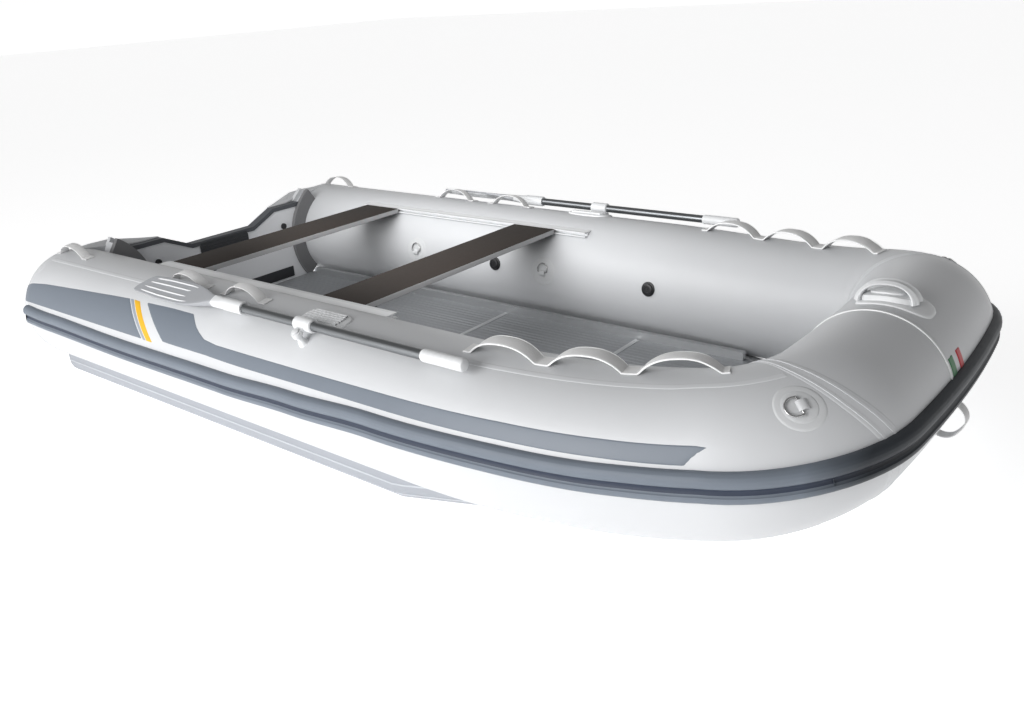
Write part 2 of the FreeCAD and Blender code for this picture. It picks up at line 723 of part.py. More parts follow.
# Oars: drawn on a plane that touches the tube, with the pin at the origin
pin_x = stern_x + size("pin_station")
shaft_seat = straight_station(pin_x).seat(90 + size("oar_angle"))
oar_place = Placement(shaft_seat.Base, shaft_seat.Rotation)
pin_place = oar_place.multiply(Placement(Vector(0, -size("pin_offset"), 0), Rotation()))
shaft_y = size("pin_offset")
shaft_z = size("shaft_height")
shaft_radius = size("shaft_diameter") / 2


def placed(shape, place):
    """A shape moved to a placement, as a new solid."""
    moved = shape.copy()
    moved.Placement = place.multiply(moved.Placement)
    return moved


def rod(radius, start, end):
    """A round bar along the oar."""
    return Part.makeCylinder(radius, end - start, Vector(start, shaft_y, shaft_z), ALONG)


def oar_shaft():
    """Aluminium tube from the blade's socket to the grip."""
    return rod(shaft_radius, -size("shaft_aft"), size("shaft_forward"))


def oar_grip():
    """Plastic grip on the shaft's forward end."""
    start = size("shaft_forward")
    grip = rod(size("grip_diameter") / 2, start, start + size("grip_length"))
    ends = [edge for edge in grip.Edges if isinstance(edge.Curve, Part.Circle)]
    return grip.makeFillet(size("grip_diameter") / 8, ends)


def oar_collar():
    """Ring on the shaft with an ear that turns on the rowlock pin."""
    half = size("collar_length") / 2
    ring = rod(shaft_radius + size("collar_wall"), -half, half)
    ear_z = shaft_z - size("ear_thickness") / 2
    ear_radius = size("pin_diameter") / 2 + size("collar_wall") * 1.5
    ear = Part.makeCylinder(ear_radius, size("ear_thickness"), Vector(0, 0, ear_z), UPWARD)
    bridge = Part.makeBox(2 * ear_radius, size("pin_offset"), size("ear_thickness"),
                          Vector(-ear_radius, 0, ear_z))
    bore = Part.makeCylinder(size("pin_diameter") / 2 + size("pin_clearance"), size("ear_thickness") + 2 * OVERRUN,
                             Vector(0, 0, ear_z - OVERRUN), UPWARD)
    core = rod(shaft_radius + gap, -half - OVERRUN, half + OVERRUN)
    return ring.fuse([ear, bridge]).cut([core, bore]).removeSplitter()


def oar_blade():
    """Flat blade with three ribs, and the neck that runs into its socket."""
    socket_end = -size("shaft_aft")
    neck_end = socket_end - size("socket_length")
    blade_end = neck_end - (size("neck_length") - size("socket_length"))
    tip = blade_end - size("blade_length")
    half = size("blade_width") / 2
    waist = size("socket_diameter") / 2
    low = shaft_z - size("blade_thickness") / 2
    outline = [(neck_end, waist), (blade_end, waist), (blade_end - half, half * 0.86), (tip + half, half),
               (tip, half * 0.8)]
    corners = [Vector(x, shaft_y + y, low) for x, y in outline]
    corners += [Vector(x, shaft_y - y, low) for x, y in reversed(outline)]
    flat = prism(corners, UPWARD * size("blade_thickness"))
    rib_radius = size("blade_thickness") * 0.9
    ribs = []
    for share in (-0.6, 0, 0.6):
        start = Vector(tip + half / 2, shaft_y + half * share, shaft_z)
        length = size("blade_length") * 0.72
        ribs.append(Part.makeCylinder(rib_radius, length, start, ALONG))
    spine_end = Vector(blade_end - half, shaft_y, shaft_z)
    neck = Part.makeCone(rib_radius, waist, neck_end - spine_end.x, spine_end, ALONG)
    socket = rod(waist, neck_end, socket_end)
    overlap = rod(waist, socket_end, socket_end + size("socket_length") / 3)
    sleeve = overlap.cut(rod(shaft_radius + gap, socket_end, socket_end + size("socket_length")))
    return flat.fuse(ribs + [neck, socket, sleeve]).removeSplitter()


for label, shape in (("oar_shaft", oar_shaft()), ("oar_grip", oar_grip()),
                     ("oar_collar", oar_collar()), ("oar_blade", oar_blade())):
    item = doc.addObject("Part::Feature", label)
    item.Shape = placed(shape, pin_place)
    pair(item, label)


def rowlock_base():
    """Ribbed plate glued to the tube, with the pin that the collar turns on."""
    length = size("rowlock_length")
    half = size("rowlock_width") / 2
    plate = Part.makeBox(length - 2 * half, 2 * half, tube_radius, Vector(half - length / 2, -half, -tube_radius))
    ends = [Part.makeCylinder(half, tube_radius, Vector(side * (length / 2 - half), 0, -tube_radius), UPWARD)
            for side in (-1, 1)]
    plate = plate.fuse(ends)
    place = oar_place
    blank = placed(plate, place)
    blank.translate(place.Rotation.multVec(UPWARD) * (size("rowlock_plate")))
    ribs = []
    for share in (-0.7, -0.35, 0, 0.35, 0.7):
        rib = Part.makeBox(length * 0.8, size("rowlock_plate"), tube_radius,
                           Vector(-length * 0.4, half * share - size("rowlock_plate") / 2, -tube_radius))
        rib = placed(rib, place)
        rib.translate(place.Rotation.multVec(UPWARD) * (size("rowlock_plate") + size("rowlock_rib")))
        ribs.append(rib)
    shell = Part.makeCylinder(tube_radius + size("rowlock_plate"), length,
                              straight_station(pin_x - length / 2).centre, ALONG)
    blank = blank.common(shell)
    boss_top = shaft_z - size("ear_thickness") / 2 - gap * 2
    boss = Part.makeCylinder(size("pin_diameter") * 0.8, boss_top + tube_radius / 4,
                             Vector(0, 0, -tube_radius / 4), UPWARD)
    pin_top = shaft_z + size("ear_thickness") / 2 + gap * 2
    pin = Part.makeCylinder(size("pin_diameter") / 2, pin_top, ORIGIN, UPWARD)
    head = Part.makeCylinder(size("pin_diameter") * 0.8, size("rowlock_plate"), Vector(0, 0, pin_top), UPWARD)
    stand = placed(boss.fuse([pin, head]), pin_place)
    base = blank.fuse(ribs + [stand]).cut(side_space).removeSplitter()
    return max(base.Solids, key=lambda solid: solid.Volume)


base_item = doc.addObject("Part::Feature", "rowlock_base")
base_item.Shape = rowlock_base()
pair(base_item, "rowlock_base")


# Grab handles: an arch of webbing on two feet
def handle_arch():
    """One handle in its own frame: X along the tube, Z outwards."""
    half = size("handle_span") / 2
    t = size("handle_thickness")
    rise = size("handle_height")
    foot = size("handle_foot")
    width = size("handle_width")

    def rail(offset):
        crown = Vector(0, 0, rise - t + offset)
        left = Vector(-half + t - offset, 0, t)
        right = Vector(half - t + offset, 0, t)
        return Part.Arc(left, crown, right).toShape()

    outer, inner = rail(t), rail(0)
    left_close = Part.LineSegment(inner.Vertexes[0].Point, outer.Vertexes[0].Point).toShape()
    right_close = Part.LineSegment(outer.Vertexes[1].Point, inner.Vertexes[1].Point).toShape()
    face = Part.Face(Part.Wire([outer, right_close, inner, left_close]))
    face.translate(Vector(0, -width / 2, 0))
    arch = face.extrude(Vector(0, width, 0))
    feet = [Part.makeBox(foot, width, t, Vector(side * half - foot / 2, -width / 2, 0)) for side in (-1, 1)]
    return arch.fuse(feet).removeSplitter()


def handle_at(x, angle):
    """A handle on the starboard tube."""
    return placed(handle_arch(), station_at(x).seat(angle, gap))


HANDLE_ANGLE = 97
MIDDLE_HANDLES = (1045, 1365)
STERN_HANDLE = 240
handles = Part.makeCompound([handle_at(stern_x + x, HANDLE_ANGLE) for x in (STERN_HANDLE,) + MIDDLE_HANDLES])
handle_item = doc.addObject("Part::Feature", "grab_handles")
handle_item.Shape = handles
pair(handle_item, "grab_handles")

STRAPS = ((2440, 96), (2673, 93), (2905, 88))
strap_arches = [handle_at(stern_x + x, angle).cut(side_space) for x, angle in STRAPS]
strap = Part.makeCompound([max(arch.Solids, key=lambda solid: solid.Volume) for arch in strap_arches])
strap_item = doc.addObject("Part::Feature", "bow_straps")
strap_item.Shape = strap
pair(strap_item, "bow_straps")


# Bow handle and towing loop on the stem
def ring_sector(inner, outer, start, end, width):
    """A curved slab round the stem tube, between two angles in degrees from the inboard side."""
    def rim(radius, angle):
        turn = math.radians(angle)
        return Vector(-math.cos(turn), 0, math.sin(turn)) * radius

    middle = (start + end) / 2
    edges = [Part.Arc(rim(outer, start), rim(outer, middle), rim(outer, end)).toShape(),
             Part.LineSegment(rim(outer, end), rim(inner, end)).toShape(),
             Part.Arc(rim(inner, end), rim(inner, middle), rim(inner, start)).toShape(),
             Part.LineSegment(rim(inner, start), rim(outer, start)).toShape()]
    face = Part.Face(Part.Wire(edges))
    face.translate(Vector(0, -width / 2, 0))
    return face.extrude(Vector(0, width, 0))


stem = front_station(90)


def bow_handle():
    """Moulded carrying handle over the stem, on a long base that follows the tube."""
    seat = bow_radius + gap
    wall = size("bow_handle_wall")
    middle = size("bow_handle_middle")
    base_half = size("bow_base_angle") / 2
    grip_half = size("bow_handle_angle") / 2
    top = bow_radius + size("bow_handle_height")
    post = size("bow_post_angle")
    base = ring_sector(seat, seat + wall, middle - base_half, middle + base_half, size("bow_base_width"))
    grip = ring_sector(top - wall, top, middle - grip_half, middle + grip_half, size("bow_handle_width"))
    posts = [ring_sector(seat + wall / 2, top, middle + side * (grip_half - post / 2) - post / 2,
                         middle + side * (grip_half - post / 2) + post / 2,
                         size("bow_handle_width")) for side in (-1, 1)]
    shape = base.fuse([grip] + posts).removeSplitter()
    shape.translate(stem.centre)
    trimmed = shape.cut(bow_space)
    return max(trimmed.Solids, key=lambda solid: solid.Volume)


feature("bow_handle", bow_handle())


def bow_loop():
    """Webbing towing loop under the strake at the stem."""
    span = size("bow_loop_span")
    sag = bow_radius - math.sqrt(bow_radius ** 2 - (span / 2) ** 2)
    arch = handle_arch()
    squeeze = Matrix()
    squeeze.scale(Vector(span / size("handle_span"), size("bow_loop_width") / size("handle_width"),
                         (size("handle_height") + sag) / size("handle_height")))
    arch = arch.transformGeometry(squeeze)
    turn = math.radians(size("bow_loop_angle"))
    out = Vector(math.cos(turn), 0, -math.sin(turn))
    along = Vector(math.sin(turn), 0, math.cos(turn))
    side = out.cross(along)
    at = stem.centre + out * (bow_radius + gap - sag)
    place = Placement(Matrix(along.x, side.x, out.x, at.x, along.y, side.y, out.y, at.y,
                             along.z, side.z, out.z, at.z, 0, 0, 0, 1))
    loop = placed(arch, place).cut(bow_space)
    return max(loop.Solids, key=lambda solid: solid.Volume)


feature("bow_loop", bow_loop())


# D-rings on round patches
def ring_on_patch(place, shell, turn):
    """A ring held by a tab, on a round patch of the tube; it lies aft, or turned from there."""
    wire = size("ring_wire") / 2
    half = size("ring_width") / 2
    lift = size("patch_thickness") + wire
    deep = size("ring_patch") / 4
    disc = Part.makeCylinder(size("ring_patch") / 2, 2 * deep, Vector(0, 0, -deep), UPWARD)
    patch = placed(disc, place).common(shell)
    ring = Part.makeTorus(half - wire, wire, Vector(wire - half, 0, lift), UPWARD)
    tab = Part.makeBox(size("ring_tab"), size("ring_width") - 4 * wire, size("patch_thickness") + 3 * wire,
                       Vector(-2 * wire, 2 * wire - half, 0))
    spin = place.multiply(Placement(ORIGIN, Rotation(UPWARD, turn)))
    return patch.fuse([placed(ring, spin), placed(tab, spin)]).removeSplitter()


INNER_RINGS = (1010, 1718)
INNER_ANGLE = 9.5
RING_HEADING = 48
RING_ANGLE = 128
side_shell = side_tube(gap + size("patch_thickness")).cut(side_space)
ring_run = [corner_station(RING_HEADING + a) for a in spread(-26, 26, CORNER_STATIONS)]
ring_shell = loft(ring_run, tube_circle(gap + size("patch_thickness"))).cut([side_space, bow_space])
rings = [ring_on_patch(corner_station(RING_HEADING).seat(RING_ANGLE, gap), ring_shell, 0)]
rings += [ring_on_patch(straight_station(stern_x + x).seat(INNER_ANGLE, gap), side_shell, 90)
          for x in INNER_RINGS]
ring_item = doc.addObject("Part::Feature", "d_rings")
ring_item.Shape = Part.makeCompound(rings)
pair(ring_item, "d_rings")


# Inflation valves on the inner side of each tube
def valve():
    """Flange and cap, in the seat's frame."""
    flange = Part.makeCylinder(size("valve_diameter") / 2, size("valve_depth") / 3, ORIGIN, UPWARD)
    cap = Part.makeCylinder(size("valve_diameter") * 0.38, size("valve_depth"), ORIGIN, UPWARD)
    return flange.fuse(cap).removeSplitter()


VALVES = (1466, 2211)
valve_item = doc.addObject("Part::Feature", "valves")
valve_item.Shape = Part.makeCompound(
    [placed(valve(), station_at(stern_x + x).seat(INNER_ANGLE, gap)) for x in VALVES])
pair(valve_item, "valves")


# Towing eyes through the transom's shoulders
def tow_eye():
    """Round plate inside, and a ring on a plate outside."""
    at = Vector(transom_x, -size("eye_spacing") / 2, size("eye_height"))
    plate = Part.makeCylinder(size("eye_plate") / 2, size("eye_plate_depth"), at, ALONG)
    back = at - ALONG * (size("transom_thickness") + size("eye_plate_depth"))
    outside = Part.makeCylinder(size("eye_plate") / 2, size("eye_plate_depth"), back, ALONG)
    wire = size("eye_wire") / 2
    bend = size("eye_ring") / 2 - wire
    ring = Part.makeTorus(bend, wire, back - ALONG * bend, PORT)
    return Part.makeCompound([plate, outside.fuse(ring).removeSplitter()])


eye_item = doc.addObject("Part::Feature", "tow_eyes")
eye_item.Shape = tow_eye()
pair(eye_item, "tow_eyes")

doc.recompute()

faults = [item.Name for item in doc.Objects if {"Invalid", "Error"} & set(item.State)]

for item in NODES:
    if item.Shape.isNull() or not item.Shape.isValid():
        faults.append(item.Label)
if faults:
    raise RuntimeError("failed: " + ", ".join(sorted(set(faults))))

os.makedirs("parts", exist_ok=True)
whole = FreeCAD.BoundBox()
for item in NODES:
    item.Shape.exportStep(os.path.join("parts", item.Label + ".step"))
    whole.add(item.Shape.BoundBox)
    print(f"{item.Label:26s} solids {len(item.Shape.Solids)} volume {item.Shape.Volume / 1e6:9.3f} dm3")
print("box", whole)
print("pin", pin_place.Base, "axis", pin_place.Rotation.multVec(UPWARD))
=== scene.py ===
"""Surfaces and finishes of an inflatable dinghy, laid out as an add-on and run as a script.

Metres throughout: +X to the bow, +Y to port, +Z up, the ground at zero. Angles round a tube
are in degrees, from its inboard side, up and over.
"""

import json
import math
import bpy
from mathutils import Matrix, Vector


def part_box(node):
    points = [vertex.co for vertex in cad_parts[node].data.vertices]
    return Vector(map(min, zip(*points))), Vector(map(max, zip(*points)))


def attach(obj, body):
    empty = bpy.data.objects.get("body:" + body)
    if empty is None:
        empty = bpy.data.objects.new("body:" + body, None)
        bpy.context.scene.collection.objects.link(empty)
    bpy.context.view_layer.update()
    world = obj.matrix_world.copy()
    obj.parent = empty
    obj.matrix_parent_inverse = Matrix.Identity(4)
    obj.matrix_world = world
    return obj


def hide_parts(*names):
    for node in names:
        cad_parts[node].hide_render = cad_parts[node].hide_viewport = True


bl_info = {
    "name": "Inflatable Dinghy",
    "version": (1, 0, 0),
    "blender": (4, 5, 0),
    "location": "View3D > Sidebar > Dinghy",
    "description": "Builds the coated tubes, straps, oars, floor and fittings of an inflatable dinghy",
    "category": "Object",
}

import bmesh
import bpy
import numpy as np
from mathutils import Matrix, Vector

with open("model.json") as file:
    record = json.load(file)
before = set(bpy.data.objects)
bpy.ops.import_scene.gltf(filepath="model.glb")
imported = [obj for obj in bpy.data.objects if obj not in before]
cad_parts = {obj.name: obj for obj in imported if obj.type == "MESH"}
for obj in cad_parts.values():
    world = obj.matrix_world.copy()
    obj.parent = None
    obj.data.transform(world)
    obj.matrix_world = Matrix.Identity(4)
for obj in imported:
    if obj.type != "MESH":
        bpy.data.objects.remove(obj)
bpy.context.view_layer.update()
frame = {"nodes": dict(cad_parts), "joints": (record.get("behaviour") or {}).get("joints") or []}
CAD = frame["nodes"]
SIDES = (("starboard", False), ("port", True))
FULL_TURN = 2 * math.pi
GENERATED, UV, OBJECT = 0, 2, 3  # outputs of a Texture Coordinate node


# Sizes and colours

def length(name, default, description):
    """A size in metres that a user would change."""
    return bpy.props.FloatProperty(name=name, default=default, description=description,
                                   unit="LENGTH", precision=4)


def colour(name, default, description):
    """A linear colour that a user would change."""
    return bpy.props.FloatVectorProperty(name=name, default=default, description=description,
                                         subtype="COLOR", size=3, min=0.0, max=1.0)


class DinghyHullSizes(bpy.types.PropertyGroup):
    """Sizes of the tubes and what is bonded to them."""

    overall: length("Overall length", 3.430, "Stern dome's tip to the strake at the stem")
    tube: length("Tube radius", 0.225, "Side tube's radius")
    bow_tube: length("Bow tube radius", 0.200, "Tube's radius at the stem")
    half_spacing: length("Half spacing", 0.676, "Side tube's centreline from the middle")
    centre_height: length("Centre height", 0.325, "Side tube's centreline over the ground")
    bow_rise: length("Bow rise", 0.098, "Stem's centreline over the side tubes'")
    bend: length("Side bend", 3.7, "Radius of the gentle bend towards the bow")
    corner: length("Corner", 0.25, "Radius of the bow corner")
    dome: length("Dome depth", 0.14, "Rounded stern end of a tube")
    knuckle: length("Dome knuckle", 0.11, "Rounded shoulder of that end")
    strake_depth: length("Strake depth", 0.022, "Rub strake's stand-off")
    strake_height: length("Strake height", 0.075, "Rub strake's height")
    tape: length("Seam tape", 0.036, "Width of a seam's cover tape")


class DinghyFittingSizes(bpy.types.PropertyGroup):
    """Sizes of the straps, oars and small fittings."""

    webbing: length("Webbing", 0.038, "Grab handle's webbing across")
    loop_height: length("Loop height", 0.044, "Grab handle over the tube")
    loop_span: length("Loop span", 0.176, "Grab handle between its feet")
    blade: length("Blade", 0.410, "Oar blade's length")
    blade_width: length("Blade width", 0.098, "Oar blade across")
    shaft: length("Shaft", 0.030, "Oar shaft across")
    grip: length("Grip", 0.037, "Oar grip across")
    valve: length("Valve", 0.048, "Valve's flange across")
    patch: length("Ring patch", 0.118, "D-ring's round patch across")


class DinghyColours(bpy.types.PropertyGroup):
    """Colours of the finishes."""

    hull: colour("Hull", (0.60, 0.61, 0.625), "Light grey coated fabric")
    stripe: colour("Stripe", (0.155, 0.18, 0.215), "Slate grey decoration")
    accent: colour("Accent", (0.74, 0.41, 0.010), "Yellow band")
    pale_line: colour("Pale line", (0.30, 0.33, 0.38), "Light grey line beside the band")
    strake: colour("Strake", (0.165, 0.19, 0.225), "Rub strake")
    trim: colour("Trim", (0.09, 0.095, 0.105), "Dark rubber edging")
    webbing: colour("Webbing", (0.76, 0.76, 0.76), "Straps and handles")
    plastic: colour("White plastic", (0.74, 0.75, 0.76), "Oar blades, tracks and pads")
    seat: colour("Seat", (0.040, 0.033, 0.029), "Coated seat board")
    board: colour("Floor", (0.28, 0.29, 0.305), "Aluminium floor boards")
    transom: colour("Transom", (0.80, 0.81, 0.83), "Painted transom board")
    black: colour("Black", (0.012, 0.012, 0.014), "Valve caps and clips")


def sizes():
    return bpy.context.scene.dinghy_hull


def fittings():
    return bpy.context.scene.dinghy_fittings


def colours():
    return bpy.context.scene.dinghy_colours


# Shader maths

class Wire:
    """An output socket whose arithmetic adds Math nodes to its tree."""

    def __init__(self, finish, output):
        self.finish = finish
        self.output = output

    def _join(self, operation, *values, clamp=False):
        return self.finish.add("ShaderNodeMath", dict(operation=operation, use_clamp=clamp), *values)

    def __add__(self, other):
        return self._join("ADD", self, other)

    def __radd__(self, other):
        return self._join("ADD", other, self)

    def __sub__(self, other):
        return self._join("SUBTRACT", self, other)

    def __rsub__(self, other):
        return self._join("SUBTRACT", other, self)

    def __mul__(self, other):
        return self._join("MULTIPLY", self, other)

    def __rmul__(self, other):
        return self._join("MULTIPLY", other, self)

    def __truediv__(self, other):
        return self._join("DIVIDE", self, other)

    def __abs__(self):
        return self._join("ABSOLUTE", self)

    def sin(self):
        return self._join("SINE", self)

    def clamped(self):
        """The value held between 0 and 1."""
        return self._join("ADD", self, 0.0, clamp=True)

    def part(self, index):
        """Another output of the same node."""
        return Wire(self.finish, self.output.node.outputs[index])


class Finish:
    """A material being built: one method adds any node."""

    def __init__(self, name, slot):
        self.material = bpy.data.materials.new(name)
        self.material.use_nodes = True
        self.material["dinghy_slot"] = slot
        self.start(self.material.node_tree, "ShaderNodeOutputMaterial", "ShaderNodeBsdfPrincipled")

    def start(self, tree, output, surface):
        """Empty the tree, and join a surface shader to its output."""
        self.tree = tree
        tree.nodes.clear()
        self.surface = self.node(surface)
        self.node(output, None, Wire(self, self.surface.outputs[0]))

    def node(self, kind, settings=None, *values, sockets=None, **named):
        """Add a node: its settings first, then what feeds its sockets, by order, number or name."""
        node = self.tree.nodes.new(kind)
        for key, value in (settings or {}).items():
            setattr(node, key, value)
        for index, value in (sockets or dict(enumerate(values))).items():
            self.feed(node.inputs[index], value)
        for key, value in named.items():
            self.feed(node.inputs[key.replace("_", " ")], value)
        return node

    def add(self, *what, output=0, **more):
        """Add a node, and take one of its outputs."""
        return Wire(self, self.node(*what, **more).outputs[output])

    def feed(self, socket, value):
        if isinstance(value, Wire):
            self.tree.links.new(value.output, socket)
        else:
            socket.default_value = value

    def set(self, **named):
        """Set or link sockets of the surface shader."""
        for key, value in named.items():
            self.feed(self.surface.inputs[key.replace("_", " ")], value)

    def place(self, which=OBJECT):
        return self.add("ShaderNodeTexCoord", output=which)

    def axes(self, which=OBJECT):
        """The first axis of a coordinate; its parts 1 and 2 are the others."""
        return self.add("ShaderNodeSeparateXYZ", None, self.place(which))

    def noise(self, scale, detail=3.0, stretch=None):
        """Noise between 0 and 1 on object coordinates, optionally stretched."""
        at = self.place()
        if stretch:
            at = self.add("ShaderNodeMapping", None, at, Scale=stretch)
        return self.add("ShaderNodeTexNoise", None, Vector=at, Scale=scale, Detail=detail, Roughness=0.55)

    def blend(self, first, second, mask):
        """Mix two colours, or links of colours, by a mask."""
        first, second = (tone if isinstance(tone, Wire) else (*tone, 1.0) for tone in (first, second))
        return self.add("ShaderNodeMix", dict(data_type="RGBA"), output=2,
                        sockets={0: mask, 6: first, 7: second})

    def shade(self, base, amount, mask):
        """A colour that is darker by amount where the mask is 0, and lighter where it is 1."""
        return self.blend([c * (1 - amount) for c in base], [min(c * (1 + amount), 1) for c in base], mask)

    def bump(self, height, distance, strength):
        """Feed the surface's normal from a height between 0 and 1."""
        self.set(Normal=self.add("ShaderNodeBump", None, Height=height, Distance=distance,
                                 Strength=strength))


class Sky(Finish):
    """The studio's light from all round, built with the same node methods."""

    def __init__(self, name):
        self.world = bpy.data.worlds.new(name)
        self.world.use_nodes = True
        self.start(self.world.node_tree, "ShaderNodeOutputWorld", "ShaderNodeBackground")


# Finishes: each has clouding in its colour, a varying gloss and a fine relief

THREAD = 0.0026  # pitch of the coated fabric's threads
RIB, STRAND = 0.0028, 0.0024  # pitches along and across the webbing
DULL = dict(Specular_IOR_Level=0.25)


def threads(at):
    """The coated fabric's relief: sin(turn · u / pitch) · sin(turn · v / pitch)."""
    return (at * (FULL_TURN / THREAD)).sin() * (at.part(1) * (FULL_TURN / THREAD)).sin()


def coated_fabric(name, base=None, gloss=0.36):
    """Satin coated fabric: a faint weave, slow mottling and a skin of coating."""
    f = Finish(name, "hull_fabric")
    cloud, fine = f.noise(2.2), f.noise(90.0, 2.0)
    f.set(Base_Color=f.shade(base or colours().hull, 0.035, cloud), Specular_IOR_Level=0.42,
          Roughness=gloss + 0.10 * cloud + 0.05 * fine, Coat_Weight=0.12, Coat_Roughness=0.22)
    f.bump(threads(f.axes(UV)) * 0.10 + f.noise(7.0) * 0.9 + fine * 0.05, 0.0009, 0.5)
    return f.material


def bottom_fabric(name):
    """Coated fabric of the bottom: its weave and puckers lie on object coordinates."""
    f = Finish(name, "hull_fabric")
    cloud, fine = f.noise(2.2), f.noise(90.0, 2.0)
    f.set(Base_Color=f.shade(colours().hull, 0.05, cloud), Roughness=0.40 + 0.12 * cloud + 0.05 * fine,
          Specular_IOR_Level=0.42)
    f.bump(threads(f.axes()) * 0.1 + f.noise(6.0) * 0.9, 0.0012, 0.5)
    return f.material


def film(name, base, slot="hull_fabric"):
    """Smooth bonded film: flat colour with slight clouding and a low gloss."""
    f = Finish(name, slot)
    cloud = f.noise(5.0)
    f.set(Base_Color=f.shade(base, 0.05, cloud), Roughness=0.36 + 0.12 * cloud, Specular_IOR_Level=0.45)
    f.bump(f.noise(60.0, 2.0), 0.0004, 0.3)
    return f.material


def rubber(name, base, stem_shade_from=None):
    """Extruded rubber: fine drawn lines, a bloom and a soft sheen; ahead of the given x it is darker, as
    painted shade towards the stem.
    """
    f = Finish(name, "rubber_grey")
    bloom = f.noise(9.0, 4.0)
    drawn = f.noise(30.0, stretch=(0.3, 1.0, 6.0))
    tone = f.shade(base, 0.10, bloom)
    if stem_shade_from:
        # Painted shade towards the stem: over change metres the colour falls to share of the base
        change, share = 0.10, 0.2
        tone = f.blend(tone, [c * share for c in base], ((f.axes() - stem_shade_from) / change).clamped())
    f.set(Base_Color=tone, Roughness=0.40 + 0.14 * drawn, **DULL)
    f.bump(drawn + bloom * 0.5, 0.0004, 0.4)
    return f.material


def holder_rubber(name):
    """The transom's holders: dark rubber, under the gusset's light fabric at the back of the shoulder."""
    f = Finish(name, "rubber_grey")
    bloom = f.noise(9.0, 4.0)
    at = f.axes()
    shoulder, back, edge = 0.478, -1.508, 0.004
    covered = ((at.part(2) - shoulder) / edge).clamped() * ((back - at) / edge).clamped()
    f.set(Base_Color=f.blend(f.shade((0.19, 0.19, 0.195), 0.10, bloom), colours().hull, covered),
          Roughness=0.45 + 0.14 * bloom, **DULL)
    f.bump(bloom, 0.0004, 0.4)
    return f.material


def moulded(name, base, slot="white_plastic", gloss=0.34):
    """Moulded plastic with a fine spark-eroded grain."""
    f = Finish(name, slot)
    grain, cloud = f.noise(140.0, 2.0), f.noise(6.0, 2.0)
    f.set(Base_Color=f.shade(base, 0.04, cloud), Roughness=gloss + 0.10 * grain + 0.05 * cloud)
    f.bump(grain, 0.0003, 0.5)
    return f.material


def track_plastic(name):
    """Seat track: a white rail on a brighter glued flange."""
    f = Finish(name, "white_plastic")
    rail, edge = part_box("seat_track_port")[0][1] + 0.012, 0.003
    flange = ((abs(f.axes().part(1)) - rail) / edge).clamped()
    grain = f.noise(140.0, 2.0)
    f.set(Base_Color=f.blend(colours().plastic, (0.86, 0.87, 0.88), flange), Roughness=0.36 + 0.10 * grain)
    f.bump(grain, 0.0003, 0.5)
    return f.material


def woven(name, base):
    """Webbing: ribs across the strap and threads along it, on the strap's own UV."""
    f = Finish(name, "webbing")
    at = f.axes(UV)
    ribs = (at * (FULL_TURN / RIB)).sin() * 0.5 + 0.5
    strands = (at.part(1) * (FULL_TURN / STRAND)).sin() * 0.5 + 0.5
    weave, dust = ribs * 0.6 + strands * 0.4, f.noise(40.0)
    f.set(Base_Color=f.shade(base, 0.10, weave * 0.6 + dust * 0.4), Roughness=0.62 + 0.2 * dust,
          Specular_IOR_Level=0.3, Sheen_Weight=0.25, Sheen_Roughness=0.4)
    f.bump(weave, 0.0006, 0.7)
    return f.material


def drawn_metal(name, base, slot, gloss):
    """Drawn or brushed metal: streaks along the piece."""
    f = Finish(name, slot)
    streak, cloud = f.noise(55.0, 4.0, stretch=(0.25, 8.0, 8.0)), f.noise(4.0, 2.0)
    f.set(Base_Color=f.shade(base, 0.10, streak), Metallic=1.0,
          Roughness=gloss + 0.16 * streak + 0.05 * cloud)
    f.bump(streak, 0.0002, 0.4)
    return f.material


def floor_metal(name):
    """Ribbed floor extrusion: dull anodised metal, streaked along the boat and scuffed."""
    f = Finish(name, "aluminium_board")
    streak, scuff = f.noise(40.0, 4.0, stretch=(0.15, 9.0, 1.0)), f.noise(14.0, 5.0)
    f.set(Base_Color=f.shade(colours().board, 0.14, streak), Metallic=0.35,
          Roughness=0.38 + 0.16 * streak + 0.12 * scuff)
    f.bump(streak, 0.0003, 0.4)
    return f.material


def seat_board(name):
    """Dark coated plywood: long faint grain under a satin coat."""
    f = Finish(name, "seat_board")
    grain, dust = f.noise(16.0, 5.0, stretch=(7.0, 0.5, 7.0)), f.noise(60.0)
    f.set(Base_Color=f.shade(colours().seat, 0.22, grain), Roughness=0.56 + 0.14 * grain + 0.06 * dust,
          Specular_IOR_Level=0.10)
    f.bump(grain * 0.7 + dust * 0.3, 0.0004, 0.5)
    return f.material


def painted_board(name):
    """Painted plywood: orange peel and slight unevenness."""
    f = Finish(name, "transom_board")
    peel = f.noise(70.0, 2.0)
    f.set(Base_Color=f.shade(colours().transom, 0.05, f.noise(3.0)), Roughness=0.34 + 0.10 * peel,
          Specular_IOR_Level=0.45)
    f.bump(peel, 0.0004, 0.4)
    return f.material
